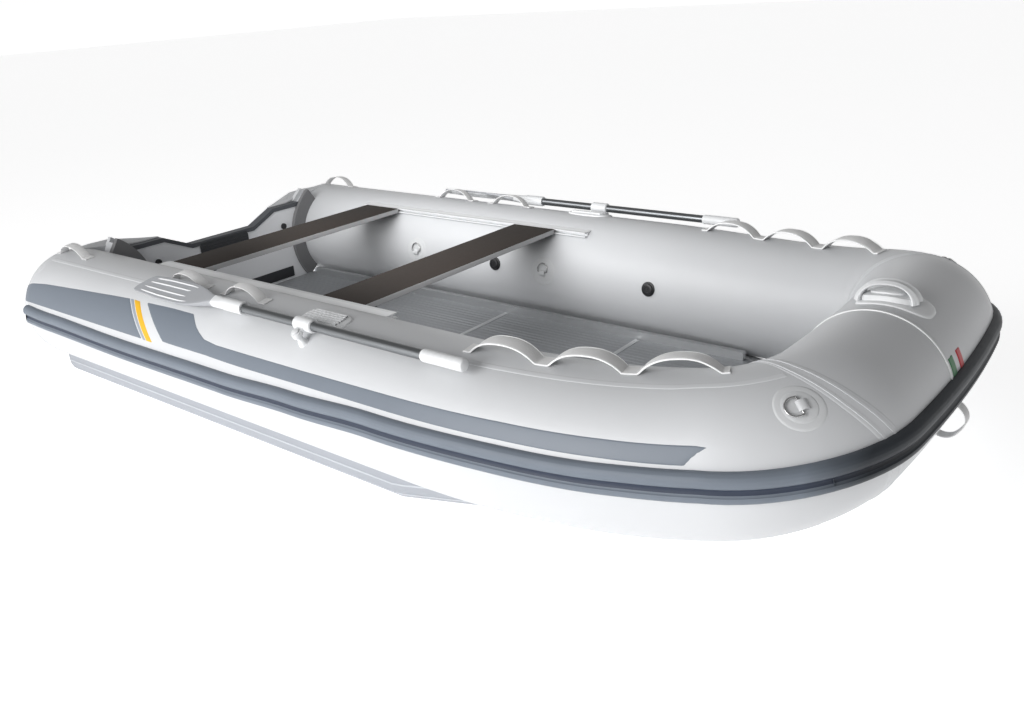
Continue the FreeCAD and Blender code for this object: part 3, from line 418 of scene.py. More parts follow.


# The strake's painted shade towards the stem starts here
STEM = 1.535  # where the strake starts to darken
RECIPES = {
    "hull_fabric": coated_fabric,
    "seam_fabric": lambda n: coated_fabric(n, [c * 1.06 for c in colours().hull], 0.40),
    "bottom_fabric": bottom_fabric,
    "bright_piping": lambda n: coated_fabric(n, (0.86, 0.87, 0.87), 0.34),
    "slate_film": lambda n: film(n, colours().stripe),
    "yellow_film": lambda n: film(n, colours().accent),
    "pale_film": lambda n: film(n, colours().pale_line),
    "green_film": lambda n: film(n, (0.02, 0.16, 0.05)),
    "red_film": lambda n: film(n, (0.50, 0.02, 0.03)),
    # Strake: darker ahead of STEM, as painted shade towards the stem
    "strake_rubber": lambda n: rubber(n, colours().strake, STEM),
    # Strake's groove: darker rubber as painted shade in the recess, and darker towards the stem as painted
    # shade
    "groove_rubber": lambda n: rubber(n, (0.040, 0.050, 0.076), STEM),
    "ledge_seam": lambda n: coated_fabric(n, (0.46, 0.48, 0.51), 0.42),
    "holder_rubber": holder_rubber,
    # Speed tubes' half rounds: darker fabric as painted shade on their undersides
    "ledge_fabric": lambda n: coated_fabric(n, (0.30, 0.315, 0.345), 0.42),
    "trim_rubber": lambda n: rubber(n, colours().trim),
    "keel_rubber": lambda n: rubber(n, (0.30, 0.31, 0.33)),
    "webbing": lambda n: woven(n, colours().webbing),
    "white_plastic": lambda n: moulded(n, colours().plastic),
    "blade_plastic": lambda n: moulded(n, (0.36, 0.37, 0.39)),
    "black_plastic": lambda n: moulded(n, colours().black, "dark_plastic", 0.32),
    "pad_plastic": lambda n: moulded(n, (0.03, 0.032, 0.036), "dark_plastic", 0.42),
    "patch_rubber": lambda n: moulded(n, (0.62, 0.63, 0.64), "light_rubber", 0.42),
    "shaft_metal": lambda n: drawn_metal(n, (0.24, 0.25, 0.26), "shaft_aluminium", 0.20),
    "ring_steel": lambda n: drawn_metal(n, (0.55, 0.55, 0.55), "steel", 0.16),
    "rail_metal": lambda n: drawn_metal(n, (0.62, 0.63, 0.64), "aluminium_board", 0.42),
    "track_plastic": track_plastic,
    "floor_metal": floor_metal,
    "seat_board": seat_board,
    "board_edge": lambda n: film(n, (0.46, 0.46, 0.465), "seat_board"),
    "painted_board": painted_board,
}
FINISHES = {}


def finish(name):
    """The named material, built the first time that it is asked for."""
    if name not in FINISHES:
        FINISHES[name] = RECIPES[name](name)
    return FINISHES[name]


# Meshes from grids

def add_piece(name, mesh, slot, body, replaces=()):
    """Put a mesh in the scene, hide the nodes that it takes over and put it on its body; the slot is not
    used.
    """
    piece = bpy.data.objects.new(name, mesh)
    bpy.context.scene.collection.objects.link(piece)
    if replaces:
        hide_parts(*replaces)
    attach(piece, body)


class Shell:
    """Collects grids of points into one mesh; each grid keeps its UV in metres."""

    def __init__(self):
        self.points, self.faces, self.uvs, self.marks = [], [], [], []
        self.count = 0

    def grid(self, points, wrap_rows=False, wrap_columns=False, uv=None, mark=0):
        """Join each point of a (rows, columns, 3) array to its neighbours; wrap closes a direction."""
        rows, columns = points.shape[:2]
        i = np.arange(rows if wrap_rows else rows - 1)
        j = np.arange(columns if wrap_columns else columns - 1)
        a, b = np.meshgrid(i, j, indexing="ij")
        steps = uv or [np.r_[0, np.cumsum(np.linalg.norm(np.diff(points, axis=k), axis=2).mean(1 - k))]
                       for k in (0, 1)]
        step_u, step_v = (np.r_[step, 2 * step[-1] - step[-2]] for step in steps)
        corners = [(a, b), (a + 1, b), (a + 1, b + 1), (a, b + 1)]
        index = [(r % rows) * columns + c % columns + self.count for r, c in corners]
        self.faces += np.stack(index, -1).reshape(-1, 4).tolist()
        uvs = [np.stack([step_u[r], step_v[c]], -1) for r, c in corners]
        self.uvs += np.stack(uvs, -2).reshape(-1, 2).tolist()
        self.marks += [mark] * a.size
        self.points.append(points.reshape(-1, 3))
        self.count += rows * columns
        return self

    def fan(self, ring, mark=0):
        """Close a ring of points with a fan about its middle."""
        grid = np.stack([ring, np.broadcast_to(ring.mean(0), ring.shape)], 0)
        return self.grid(grid, wrap_columns=True, mark=mark)

    def sweep(self, sections, mark=0):
        """A tube through (stations, around, 3) sections, with both ends closed."""
        self.grid(sections, wrap_columns=True, mark=mark)
        return self.fan(sections[0], mark).fan(sections[-1], mark)

    def mirrored(self):
        """The same pieces on the other side of the boat: y is negated and each face turned round."""
        twin = Shell()
        twin.points = [p * np.array([1, -1, 1]) for p in self.points]
        twin.faces = [face[::-1] for face in self.faces]
        twin.uvs = [uv for k in range(0, len(self.uvs), 4) for uv in self.uvs[k:k + 4][::-1]]
        twin.marks, twin.count = list(self.marks), self.count
        return twin

    def build(self, name, finishes, body="boat", replaces=(), angle=40, outward=None, paint=None):
        """Make the object: merge doubled points, turn the faces outwards and put it on its body.

        paint picks each face's finish from the faces' normals."""
        mesh = bpy.data.meshes.new(name)
        mesh.from_pydata(np.concatenate(self.points).tolist(), [], self.faces)
        layer = mesh.uv_layers.new(name="UVMap")
        layer.data.foreach_set("uv", np.array(self.uvs, np.float32).ravel())
        mesh.polygons.foreach_set("material_index", np.array(self.marks, np.int32))
        work = bmesh.new()
        work.from_mesh(mesh)
        bmesh.ops.remove_doubles(work, verts=work.verts, dist=1e-6)
        bmesh.ops.recalc_face_normals(work, faces=work.faces)
        if outward is not None:
            total = sum((f.normal * f.calc_area() for f in work.faces), Vector())
            if total.dot(Vector(outward)) < 0:
                bmesh.ops.reverse_faces(work, faces=work.faces)
        work.to_mesh(mesh)
        work.free()
        if paint is not None:
            normals = np.empty(len(mesh.polygons) * 3, np.float32)
            mesh.polygons.foreach_get("normal", normals)
            mesh.polygons.foreach_set("material_index", paint(normals.reshape(-1, 3)).astype(np.int32))
        mesh.polygons.foreach_set("use_smooth", np.ones(len(mesh.polygons), bool))
        mesh.set_sharp_from_angle(angle=math.radians(angle))
        names = [finishes] if isinstance(finishes, str) else finishes
        for item in names:
            mesh.materials.append(finish(item))
        add_piece(name, mesh, finish(names[0])["dinghy_slot"], body, replaces)


def both_sides(shell, name, finishes, replaces=None, body="boat", **more):
    """Build a starboard piece and its port twin; {} in a name stands for the side."""
    for side, port in SIDES:
        nodes = [replaces.format(side)] if replaces else []
        half = shell.mirrored() if port else shell
        half.build(name.format(side), finishes, body.format(side), nodes, **more)


def unit(vectors):
    """Vectors divided by their lengths."""
    return vectors / np.linalg.norm(vectors, axis=-1, keepdims=True)


def rounded_box_outline(width, height, radius, steps=5):
    """Points round a rectangle with rounded corners: four quarter turns."""
    radius = min(radius, width / 2, height / 2)
    turn = np.linspace(0, np.pi / 2, steps)
    return np.concatenate([
        np.stack([cx * (width / 2 - radius) + radius * np.cos(turn + k * np.pi / 2),
                  cy * (height / 2 - radius) + radius * np.sin(turn + k * np.pi / 2)], -1)
        for k, (cx, cy) in enumerate([(1, 1), (-1, 1), (-1, -1), (1, -1)])])


def soft_block(shell, low, high, radius, axis=0):
    """A box with rounded edges: rounded outlines along one axis, drawn in at both ends."""
    low, high = np.array(low, float), np.array(high, float)
    others = [k for k in range(3) if k != axis]
    size, middle = high - low, (low + high) / 2
    radius = min(radius, size.min() / 2 * 0.999)
    turn = np.linspace(0, np.pi / 2, 5)
    inset = radius * (1 - np.sin(turn))
    ends = radius * (1 - np.cos(turn))
    rings = []
    for shrink, at in zip(np.r_[inset, inset[::-1]], np.r_[low[axis] + ends, (high[axis] - ends)[::-1]]):
        flat = rounded_box_outline(*(size[others] - 2 * shrink), max(radius - shrink, 1e-5))
        ring = np.full((len(flat), 3), at)
        ring[:, others] = middle[others] + flat
        rings.append(ring)
    return shell.sweep(np.stack(rings))


def turned(shell, profile, origin, axis, side, around=32):
    """A surface of revolution: (height, radius) pairs turned about an axis."""
    profile = np.array(profile, float)
    side = unit(side - axis * np.dot(side, axis))
    turn = np.linspace(0, FULL_TURN, around, endpoint=False)
    ring = np.cos(turn)[:, None] * side + np.sin(turn)[:, None] * np.cross(axis, side)
    points = origin + profile[:, None, :1] * axis + profile[:, None, 1:] * ring
    return shell.grid(points, wrap_columns=True)


def ribbon(shell, path, side, outline):
    """Carry an outline along a path: its first measure runs by the side, its second by run × side."""
    run = unit(np.gradient(path, axis=0))
    side = np.broadcast_to(side, path.shape)
    face = np.cross(run, side)
    return shell.sweep(path[:, None] + outline[..., :1] * side[:, None] + outline[..., 1:] * face[:, None])


# The tube's line

class TubeLine:
    """The U-shaped centreline: w metres from the starboard dome's seam, round the bow, to port's.

    Straight side, arc of the side bend, arc of the corner, wide arc of the front. The
    radius tapers and the line rises by powers of the share of the way to the stem."""

    SIDE_TURN = math.radians(13.4)
    CORNER_TURN = math.radians(85)
    SEAM_TURN = math.radians(50)
    RISE_POWER = 3.6
    TAPER_POWER = 1.6
    # Share of the overall length, and the strake's lean in degrees
    LEAN = np.array([(0.0, 5.0), (0.09, 2.5), (0.25, 0.5), (0.42, 1.5), (0.52, 4.5), (0.62, 8.0),
                     (0.72, 9.0), (0.82, 8.0), (0.9, 6.0), (0.96, 5.0), (1.0, 5.0)])

    def __init__(self):
        s = sizes()
        self.s = s
        self.stern = -s.overall / 2
        self.stem = s.overall / 2 - s.bow_tube - s.strake_depth

        def reach(radius, a, b):
            return radius * (math.sin(b) - math.sin(a)), radius * (math.cos(a) - math.cos(b))

        self.side = reach(s.bend, 0, self.SIDE_TURN)
        self.turn = reach(s.corner, self.SIDE_TURN, self.CORNER_TURN)
        self.front_half = s.half_spacing - self.side[1] - self.turn[1]
        self.front_radius = self.front_half / math.cos(self.CORNER_TURN)
        front = reach(self.front_radius, self.CORNER_TURN, math.pi / 2)
        self.bend_x = self.stem - front[0] - self.turn[0] - self.side[0]
        self.dome_x = self.stern + s.dome
        self.w1 = self.bend_x - self.dome_x
        self.w2 = self.w1 + s.bend * self.SIDE_TURN
        self.w3 = self.w2 + s.corner * (self.CORNER_TURN - self.SIDE_TURN)
        self.half = self.w3 + self.front_radius * (math.pi / 2 - self.CORNER_TURN)
        self.seam = self.w2 + s.corner * (self.SEAM_TURN - self.SIDE_TURN)

    def frame(self, w):
        """Centre, ahead, inboard, up and radius at each w."""
        s = self.s
        w = np.asarray(w, float)
        port = w > self.half
        v = np.where(port, 2 * self.half - w, w)
        where = [v < self.w1, v < self.w2, v < self.w3]
        h = np.select(where, [0 * v, (v - self.w1) / s.bend, self.SIDE_TURN + (v - self.w2) / s.corner],
                      self.CORNER_TURN + (v - self.w3) / self.front_radius)
        corner_x = self.bend_x + self.side[0]
        front_x = corner_x + self.turn[0]
        x = np.select(where, [self.dome_x + v, self.bend_x + s.bend * np.sin(h),
                              corner_x + s.corner * (np.sin(h) - math.sin(self.SIDE_TURN))],
                      front_x + self.front_radius * (np.sin(h) - math.sin(self.CORNER_TURN)))
        y = np.select(where, [0 * v - s.half_spacing, -s.half_spacing + s.bend * (1 - np.cos(h)),
                              -s.half_spacing + self.side[1]
                              + s.corner * (math.cos(self.SIDE_TURN) - np.cos(h))],
                      -self.front_half + self.front_radius * (math.cos(self.CORNER_TURN) - np.cos(h)))
        share = np.clip(x - self.bend_x, 0, None) / (self.stem - self.bend_x)
        rise = s.bow_rise * share ** self.RISE_POWER
        slope = self.RISE_POWER * s.bow_rise * share ** (self.RISE_POWER - 1) / (self.stem - self.bend_x)
        radius = s.tube - (s.tube - s.bow_tube) * share ** self.TAPER_POWER
        ahead = unit(np.stack([np.cos(h), np.sin(h), slope * np.cos(h)], -1))
        inboard = np.stack([-np.sin(h), np.cos(h), 0 * h], -1)
        up = np.cross(ahead, inboard)
        centre = np.stack([x, y, s.centre_height + rise], -1)
        radius = np.where(v < 0, self.dome(-v), radius)
        flip = np.where(port, -1.0, 1.0)
        for vector in (centre, inboard, up, ahead):
            vector[..., 1] *= flip
        return centre, ahead * flip[..., None], inboard, up, radius

    def dome(self, back):
        """Radius of the stern end at a distance behind its seam: a ring's shoulder, then a sphere."""
        s = self.s
        shoulder = s.tube - s.knuckle
        reach = (shoulder ** 2 - (s.dome - s.knuckle) ** 2) / (2 * (s.dome - s.knuckle))
        dish = s.dome + reach
        touch = dish * math.cos(math.atan2(shoulder, reach)) - reach
        ring = shoulder + np.sqrt(np.clip(s.knuckle ** 2 - back ** 2, 0, None))
        sphere = np.sqrt(np.clip(dish ** 2 - (reach + back) ** 2, 0, None))
        return np.where(back < touch, ring, sphere)

    def outwards(self, w, angle):
        """The way out of the tube: cos(angle) · inboard + sin(angle) · up."""
        _, _, inboard, up, _ = self.frame(w)
        turn = np.radians(angle)
        return np.cos(turn)[..., None] * inboard + np.sin(turn)[..., None] * up

    def skin(self, w, angle, height=0.0):
        """Points on the tube or a height over it: centre + (radius + height) · outwards."""
        centre, _, _, _, radius = self.frame(w)
        return centre + (radius + height)[..., None] * self.outwards(w, angle)

    def radius(self, w):
        return self.frame(w)[4]

    def seat(self, w, angle):
        """Origin and axes of a fitting on the skin: along, round to inboard, outwards."""
        origin, ahead, out = self.skin(w, angle), self.frame(w)[1], self.outwards(w, angle)
        return origin, ahead, np.cross(out, ahead), out

    def lean(self, x):
        """Degrees from the tube's widest line up to the strake: smooth steps between the table's rows."""
        share = (x - self.stern) / self.s.overall
        edges, values = self.LEAN.T
        k = np.clip(np.searchsorted(edges, share) - 1, 0, len(edges) - 2)
        part = np.clip((share - edges[k]) / (edges[k + 1] - edges[k]), 0, 1)
        return values[k] + (values[k + 1] - values[k]) * part * part * (3 - 2 * part)

    def at_x(self, x):
        """w of a place on the straight or gently bent part of the starboard side."""
        bent = self.w1 + self.s.bend * math.asin(min(max((x - self.bend_x) / self.s.bend, 0), 1))
        return x - self.dome_x if x < self.bend_x else bent


def smooth_steps(start, end, pitch):
    """Evenly spaced values, no further apart than the pitch."""
    return np.linspace(start, end, max(int(math.ceil(abs(end - start) / pitch)), 1) + 1)


def ramp(x, start, end):
    """0 before the start, 1 past the end, and straight between them."""
    return np.clip((x - start) / (end - start), 0, 1)


def resample(points, count):
    """Evenly spread points on a line of (metres, degrees) pairs, where a degree counts as 4 mm."""
    points = np.array(points, float)
    run = np.r_[0, np.cumsum(np.linalg.norm(np.diff(points * (1.0, 0.004), axis=0), axis=1))]
    at = np.linspace(0, run[-1], count)
    return np.stack([np.interp(at, run, points[:, k]) for k in (0, 1)], -1)


def patch_on_tube(line, shell, lower, upper, height=0.0006, count=80, across=14):
    """A film between two (w, angle) lines, straight from one to the other; its rim dips under the skin."""
    a, b = (resample(edge, count)[:, None] for edge in (lower, upper))
    q = np.linspace(0, 1, across)
    w, angle = (a[..., k] * (1 - q) + b[..., k] * q for k in (0, 1))
    rise = np.full(w.shape, height)
    rise[0], rise[-1], rise[:, 0], rise[:, -1] = (-height,) * 4
    return shell.grid(line.skin(w, angle, rise))


TAPE_ACROSS = np.array([-0.5, -0.46, -0.40, -0.2, 0, 0.2, 0.40, 0.46, 0.5])
TAPE_LIFT = np.array([-0.6, 0.5, 1, 1, 1, 1, 1, 0.5, -0.6])


def tape_on_tube(line, shell, route, width, height=0.0009, count=80, mark=0):
    """A tape along (w, angle) places: flat on top, sloping into the skin at both sides."""
    route = resample(route, count)
    radius = line.radius(route[:, 0])
    run = unit(np.gradient(np.stack([route[:, 0], np.radians(route[:, 1]) * radius], -1), axis=0))
    w = route[:, None, 0] - run[:, None, 1] * TAPE_ACROSS * width
    angle = route[:, None, 1] + np.degrees(run[:, None, 0] * TAPE_ACROSS * width / radius[:, None])
    return shell.grid(line.skin(w, angle, np.broadcast_to(TAPE_LIFT * height, w.shape)), mark=mark)


def strap_on_tube(line, shell, w, angle, height, width, thickness):
    """Webbing along the tube: centre places by w, angle and height, flat side to the tube."""
    path = line.skin(w, angle, height)
    side = unit(np.cross(line.outwards(w, angle), unit(np.gradient(path, axis=0))))
    return ribbon(shell, path, side, rounded_box_outline(width, thickness, thickness * 0.45, 3))


def pad_on_tube(line, shell, w, angle, half_along, half_round, height, power=2.0):
    """A bonded pad: rings of |u|^power + |v|^power = rho^power, which swell from the rim to the height."""
    rho = np.array([0.0, 0.35, 0.7, 0.88, 0.95, 1.0])
    lift = np.array([1.0, 1.0, 1.0, 0.92, 0.6, -0.35]) * height
    phi = np.linspace(0, FULL_TURN, 40, endpoint=False)
    u, v = (np.sign(c) * np.abs(c) ** (2 / power) for c in (np.cos(phi), np.sin(phi)))
    step = np.array([-0.005, 0.005])
    ends = line.skin(w + step, np.full(2, float(angle)))
    ws = w + rho[:, None] * u * half_along * 0.01 / np.linalg.norm(ends[1] - ends[0])
    angles = angle + np.degrees(rho[:, None] * v * half_round / line.radius(w))
    return shell.grid(line.skin(ws, angles, np.broadcast_to(lift[:, None], ws.shape)), wrap_columns=True)


def arch(t, power, shoulder=0.9):
    """A rounded arch between t = -1 and 1: (1 - |t|^power)^shoulder."""
    return (1 - np.abs(t) ** power) ** shoulder


# Pieces

class PieceOperator(bpy.types.Operator):
    """Base of the operators that build pieces."""

    bl_options = {"REGISTER", "UNDO"}

    def execute(self, context):
        self.make()
        return {"FINISHED"}


class DINGHY_OT_tubes(PieceOperator):
    """Build the inflated tubes, split at the bow's ring seams."""

    bl_idname = "dinghy.tubes"
    bl_label = "Tubes"

    def make(self):
        line = TubeLine()
        around = np.linspace(0, 360, 120, endpoint=False)
        dome = -sizes().dome * np.cos(np.linspace(0, np.pi / 2, 20))[:-1]
        port_corner, port_seam = 2 * line.half - line.w3, 2 * line.half - line.seam
        side = np.r_[dome, smooth_steps(0, line.w1, 0.05)[:-1], smooth_steps(line.w1, line.w2, 0.03)[:-1],
                     smooth_steps(line.w2, line.seam, 0.006)]
        bow = np.r_[smooth_steps(line.seam, line.w3, 0.006)[:-1],
                    smooth_steps(line.w3, port_corner, 0.03)[:-1],
                    smooth_steps(port_corner, port_seam, 0.006)]

        def tube(places):
            w, angle = np.meshgrid(places, around, indexing="ij")
            points = line.skin(w, angle)
            shell = Shell().grid(points, wrap_columns=True, uv=(places, np.radians(around) * sizes().tube))
            return shell, points

        shell, points = tube(side)
        both_sides(shell.fan(points[-1]), "skin_{}", "hull_fabric", "tube_{}")
        shell, points = tube(bow)
        shell.fan(points[0]).fan(points[-1]).build("skin_bow", "hull_fabric", replaces=["tube_bow"])


class DINGHY_OT_seams(PieceOperator):
    """Build the seam tapes and piping bonded over the joints of the fabric."""

    bl_idname = "dinghy.seams"
    bl_label = "Seams"

    RING = ((-0.075, -100), (-0.045, 25), (0.0, 70), (0.022, 97), (0.062, 135), (0.098, 165), (0.11, 192),
            (0.12, 262))
    TOP = ((0.0, 112), (1.6, 110), (2.225, 108.5), (2.55, 107), (2.80, 106))
    UNDER = ((0.02, 238), (1.6, 238), (2.6, 236))
    STERN = ((0.004, -150), (0.004, 132))

    def make(self):
        line = TubeLine()
        tape = sizes().tape
        shell = Shell()
        # Ring seam of the bow corner: a broad tape with two raised edges
        ring = np.array(self.RING)
        for shift, width, rise in ((0.0, tape, 0.0009), (-0.009, 0.005, 0.0019), (0.009, 0.005, 0.0019)):
            tape_on_tube(line, shell, ring + [line.seam + shift, 0], width, rise, 140)
        # Lengthwise seams over and under the side tube, then the ring of the stern dome
        tape_on_tube(line, shell, (*self.TOP, (line.seam, 101)), tape * 0.5, 0.0008, 160)
        tape_on_tube(line, shell, (*self.UNDER, (line.seam, 232)), tape * 0.9, count=160)
        tape_on_tube(line, shell, self.STERN, tape * 0.7, count=100)
        both_sides(shell, "seam_tapes_{}", "seam_fabric", outward=(0, 0, 1))
        piping = Shell()
        for mark, (shift, width, rise) in enumerate(((0.108, 0.006, 0.0026), (0.088, 0.026, 0.0008))):
            w = line.half - shift
            tape_on_tube(line, piping, [(w, -60), (w, 168)], width, rise, 140, mark)
        piping.build("bow_piping", ["bright_piping", "hull_fabric"], outward=(0, 0, 1))


class DINGHY_OT_stripes(PieceOperator):
    """Build the coloured films on the outer sides."""

    bl_idname = "dinghy.stripes"
    bl_label = "Side stripes"

    # Lower and upper edge by (w, angle), then the steps along and across
    AFT = (((-0.100, 163), (-0.06, 164), (0.26, 164.3), (0.557, 164.5), (0.761, 164.5), (0.846, 164.5)),
           ((-0.093, 156), (-0.05, 147.5), (0.005, 143.3), (0.10, 140.3), (0.353, 136), (0.690, 130.5)),
           90, 18)
    FORE = (((0.965, 161), (1.00, 161.3), (1.08, 161.3), (1.12, 161.2), (1.16, 161.2), (1.20, 161.1),
             (1.28, 161), (1.397, 161), (1.685, 160), (2.087, 159), (2.396, 158.5), (2.654, 159.5),
             (2.84, 161), (2.849, 161.5)),
            ((0.790, 130), (0.95, 128.5), (1.074, 128.5), (1.10, 136), (1.139, 142), (1.18, 147.2),
             (1.25, 149), (1.382, 149), (1.67, 148.5), (2.075, 147), (2.384, 146), (2.65, 146.5),
             (2.879, 148), (2.894, 149)), 220, 16)
    YELLOW = (((0.866, 164.5), (0.908, 164.5)), ((0.714, 131), (0.756, 131)), 8, 30)
    PALE = (((0.846, 164.5), (0.866, 164.5)), ((0.691, 131), (0.714, 131)), 8, 30)
    # Bow strips: from and to along the tube before the stem, and the lower edge
    STRIPS = (("green", 0.099, 0.060, 165.5), ("red", 0.036, 0.002, 165.0))
    STRIP_TOP = 149.5

    def make(self):
        line = TubeLine()
        stripes = {"slate": (self.AFT, self.FORE), "yellow": (self.YELLOW,), "pale": (self.PALE,)}
        for name, films in stripes.items():
            shell = Shell()
            for lower, upper, count, across in films:
                patch_on_tube(line, shell, lower, upper, count=count, across=across)
            both_sides(shell, "stripe_" + name + "_{}", name + "_film", outward=(0, -1, 0.2))
        for name, start, end, low in self.STRIPS:
            start, end = line.half - start, line.half - end
            strip = patch_on_tube(line, Shell(), [(start, low), (end, low)],
                                  [(start, self.STRIP_TOP), (end, self.STRIP_TOP)], 0.0018, 8)
            strip.build("bow_strip_" + name, name + "_film", outward=(1, 0, 0.2))


class DINGHY_OT_strake(PieceOperator):
    """Build the rub strake with its two beads and groove; the groove is darker rubber as painted shade, and
    painted shade darkens both towards the stem.
    """

    bl_idname = "dinghy.strake"
    bl_label = "Rub strake"

    # Height as a share of the half height, and stand-off from the tube, from the foot up
    LOWER_BEAD = ((-1, -0.0005), (-1, 0.006), (-0.96, 0.011), (-0.84, 0.0155), (-0.66, 0.0175),
                  (-0.50, 0.0172))
    UPPER_BEAD = ((0.30, 0.0216), (0.50, 0.0220), (0.70, 0.0196), (0.88, 0.0135), (0.98, 0.006),
                  (1, -0.0005))
    # Height over the groove's middle, and stand-off
    GROOVE = ((-0.0125, 0.0150), (-0.008, 0.0120), (-0.002, 0.0105), (0.003, 0.0118), (0.007, 0.0160),
              (0.011, 0.0198))
    GROOVE_SHARE = -0.08  # the groove's middle, as a share of the strake's height
    # Where the groove's painted shade starts and ends, over that middle
    DARK = (-0.0095, 0.0055)  # where its dark part starts and ends, over that middle

    def make(self):
        line = TubeLine()
        height = sizes().strake_height
        groove = self.GROOVE_SHARE * height
        beads = [np.array(rows) * (height / 2, 1) for rows in (self.LOWER_BEAD, self.UPPER_BEAD)]
        section = resample(np.concatenate([beads[0], np.array(self.GROOVE) + (groove, 0), beads[1]]), 46)
        # The stretch of the section that takes the groove's painted shade
        first, last = np.searchsorted(section[:, 0], groove + np.array(self.DARK))
        for start, end, side in ((0, line.seam, True), (line.seam, 2 * line.half - line.seam, False)):
            w = smooth_steps(start, end, 0.018)[:, None]
            middle = 180 - line.lean(line.frame(w)[0][..., 0])
            angle = middle - np.degrees(section[:, 0] / line.radius(w))
            w, lift = (np.broadcast_to(values, angle.shape) for values in (w, section[:, 1]))
            points = line.skin(w, angle, lift)
            shell = Shell().grid(points[:, :first + 1]).grid(points[:, first:last + 1], mark=1)
            shell.grid(points[:, last:]).grid(points[:, [-1, 0]]).fan(points[0]).fan(points[-1])
            # The groove's darker rubber is painted shade in the recess
            materials = ["strake_rubber", "groove_rubber"]
            if side:
                both_sides(shell, "strake_{}", materials, "rub_strake_{}", angle=50)
            else:
                shell.build("strake_bow", materials, replaces=["rub_strake_bow"], angle=50)


class DINGHY_OT_handles(PieceOperator):
    """Build the webbing grab handles along the tubes and the bow strips with their bright edges."""

    bl_idname = "dinghy.handles"
    bl_label = "Grab handles"

    HANDLES = (0.240, 1.045, 1.365)  # ahead of the stern
    HANDLE_ANGLE, FOOT, ROUND = 98, 0.030, 2.4  # ROUND is the arches' power
    STRIP = (2.178, 2.932)  # bow strip along the tube
    STRIP_ARCHES = ((2.201, 2.402), (2.444, 2.651), (2.696, 2.912))
    STRIP_ANGLES = ((2.178, 2.42, 2.67, 2.932), (94.0, 92.0, 89.0, 83.5))
    THICK, EDGE = 0.0034, 0.0042

    def make(self):
        line = TubeLine()
        f = fittings()
        thick, foot = self.THICK, self.FOOT
        loops, strip, edges = Shell(), Shell(), Shell()
        t = np.linspace(-1, 1, 41)
        for x in self.HANDLES:
            w = line.at_x(line.stern + x) + t * f.loop_span / 2
            w = np.r_[w[0] - foot, w[0] - foot / 2, w, w[-1] + foot / 2, w[-1] + foot]
            lift = thick / 2 + 0.0006 + (f.loop_height - thick) * arch(t, self.ROUND)
            lift = np.r_[thick / 2, thick / 2 + 0.0006, lift, thick / 2 + 0.0006, thick / 2]
            strap_on_tube(line, loops, w, np.full(w.shape, float(self.HANDLE_ANGLE)), lift, f.webbing, thick)
        both_sides(loops, "grab_loops_{}", "webbing", "grab_handles_{}")
        # Bow strip: its height over the skin is the sum of three rounded arches
        w = smooth_steps(*self.STRIP, 0.006)
        lift = np.full(w.shape, thick / 2 + 0.0004)
        for start, end in self.STRIP_ARCHES:
            t = np.clip((w - (start + end) / 2) / ((end - start) / 2), -1, 1)
            lift = lift + (f.loop_height - thick) * arch(t, self.ROUND)
        angle = np.interp(w, *self.STRIP_ANGLES)
        wide = f.webbing * 1.25
        strap_on_tube(line, strip, w, angle, lift, wide, thick)
        both_sides(strip, "bow_loops_{}", "webbing", "bow_straps_{}")
        for sign in (-1, 1):
            rim = angle + sign * np.degrees((wide / 2 - 0.001) / line.radius(w))
            strap_on_tube(line, edges, w, rim, lift + 0.0006, self.EDGE, thick + 0.0016)
        both_sides(edges, "bow_strip_edges_{}", "bright_piping")


class DINGHY_OT_floor(PieceOperator):
    """Build the ribbed floor boards and the bars that join them."""

    bl_idname = "dinghy.floor"
    bl_label = "Floor"

    PITCH, DEPTH, GROOVE = 0.0245, 0.0016, 0.14  # rib's pitch, groove's depth and its share of the pitch
    NOSE, NOSE_HALF = 0.2, 0.33  # bow board's narrowing: its length, and its half width ahead
    BOARDS = ("aft", "middle", "forward", "bow")

    def make(self):
        boxes = {board: [np.array(c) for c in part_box("floor_board_" + board)] for board in self.BOARDS}
        for board, (low, high) in boxes.items():
            # Top: flat ribs with a ramped groove once a pitch; the bow board narrows over its nose
            half = high[1]
            y = np.linspace(-half, half, 470)
            phase = np.abs((y / self.PITCH) % 1.0 - 0.5) * 2
            groove = ramp(phase, 1 - self.GROOVE, 1 - self.GROOVE * 0.3)
            x = np.linspace(low[0], high[0], 30 if board == "bow" else 3)
            narrow = 0 * x
            if board == "bow":
                narrow = ramp(x, high[0] - self.NOSE, high[0]) * (half - self.NOSE_HALF) / half
            top = np.empty((len(x), len(y), 3))
            top[..., 0] = x[:, None]
            top[..., 1] = y * (1 - narrow[:, None])
            top[..., 2] = high[2] - self.DEPTH * groove
            under = top[:, ::-1].copy()
            under[..., 2] = low[2]
            Shell().sweep(np.concatenate([top, under], 1)).build(
                "deck_" + board, "floor_metal", replaces=["floor_board_" + board], angle=20)
        bars = Shell()
        high = boxes["middle"][1]
        for board in self.BOARDS[1:]:
            x = boxes[board][0][0]
            soft_block(bars, (x - 0.010, -high[1] + 0.03, high[2] - 0.001),
                       (x + 0.010, high[1] - 0.03, high[2] + 0.0022), 0.0015, axis=1)
        bars.build("floor_joint_bars", "rail_metal", angle=30)


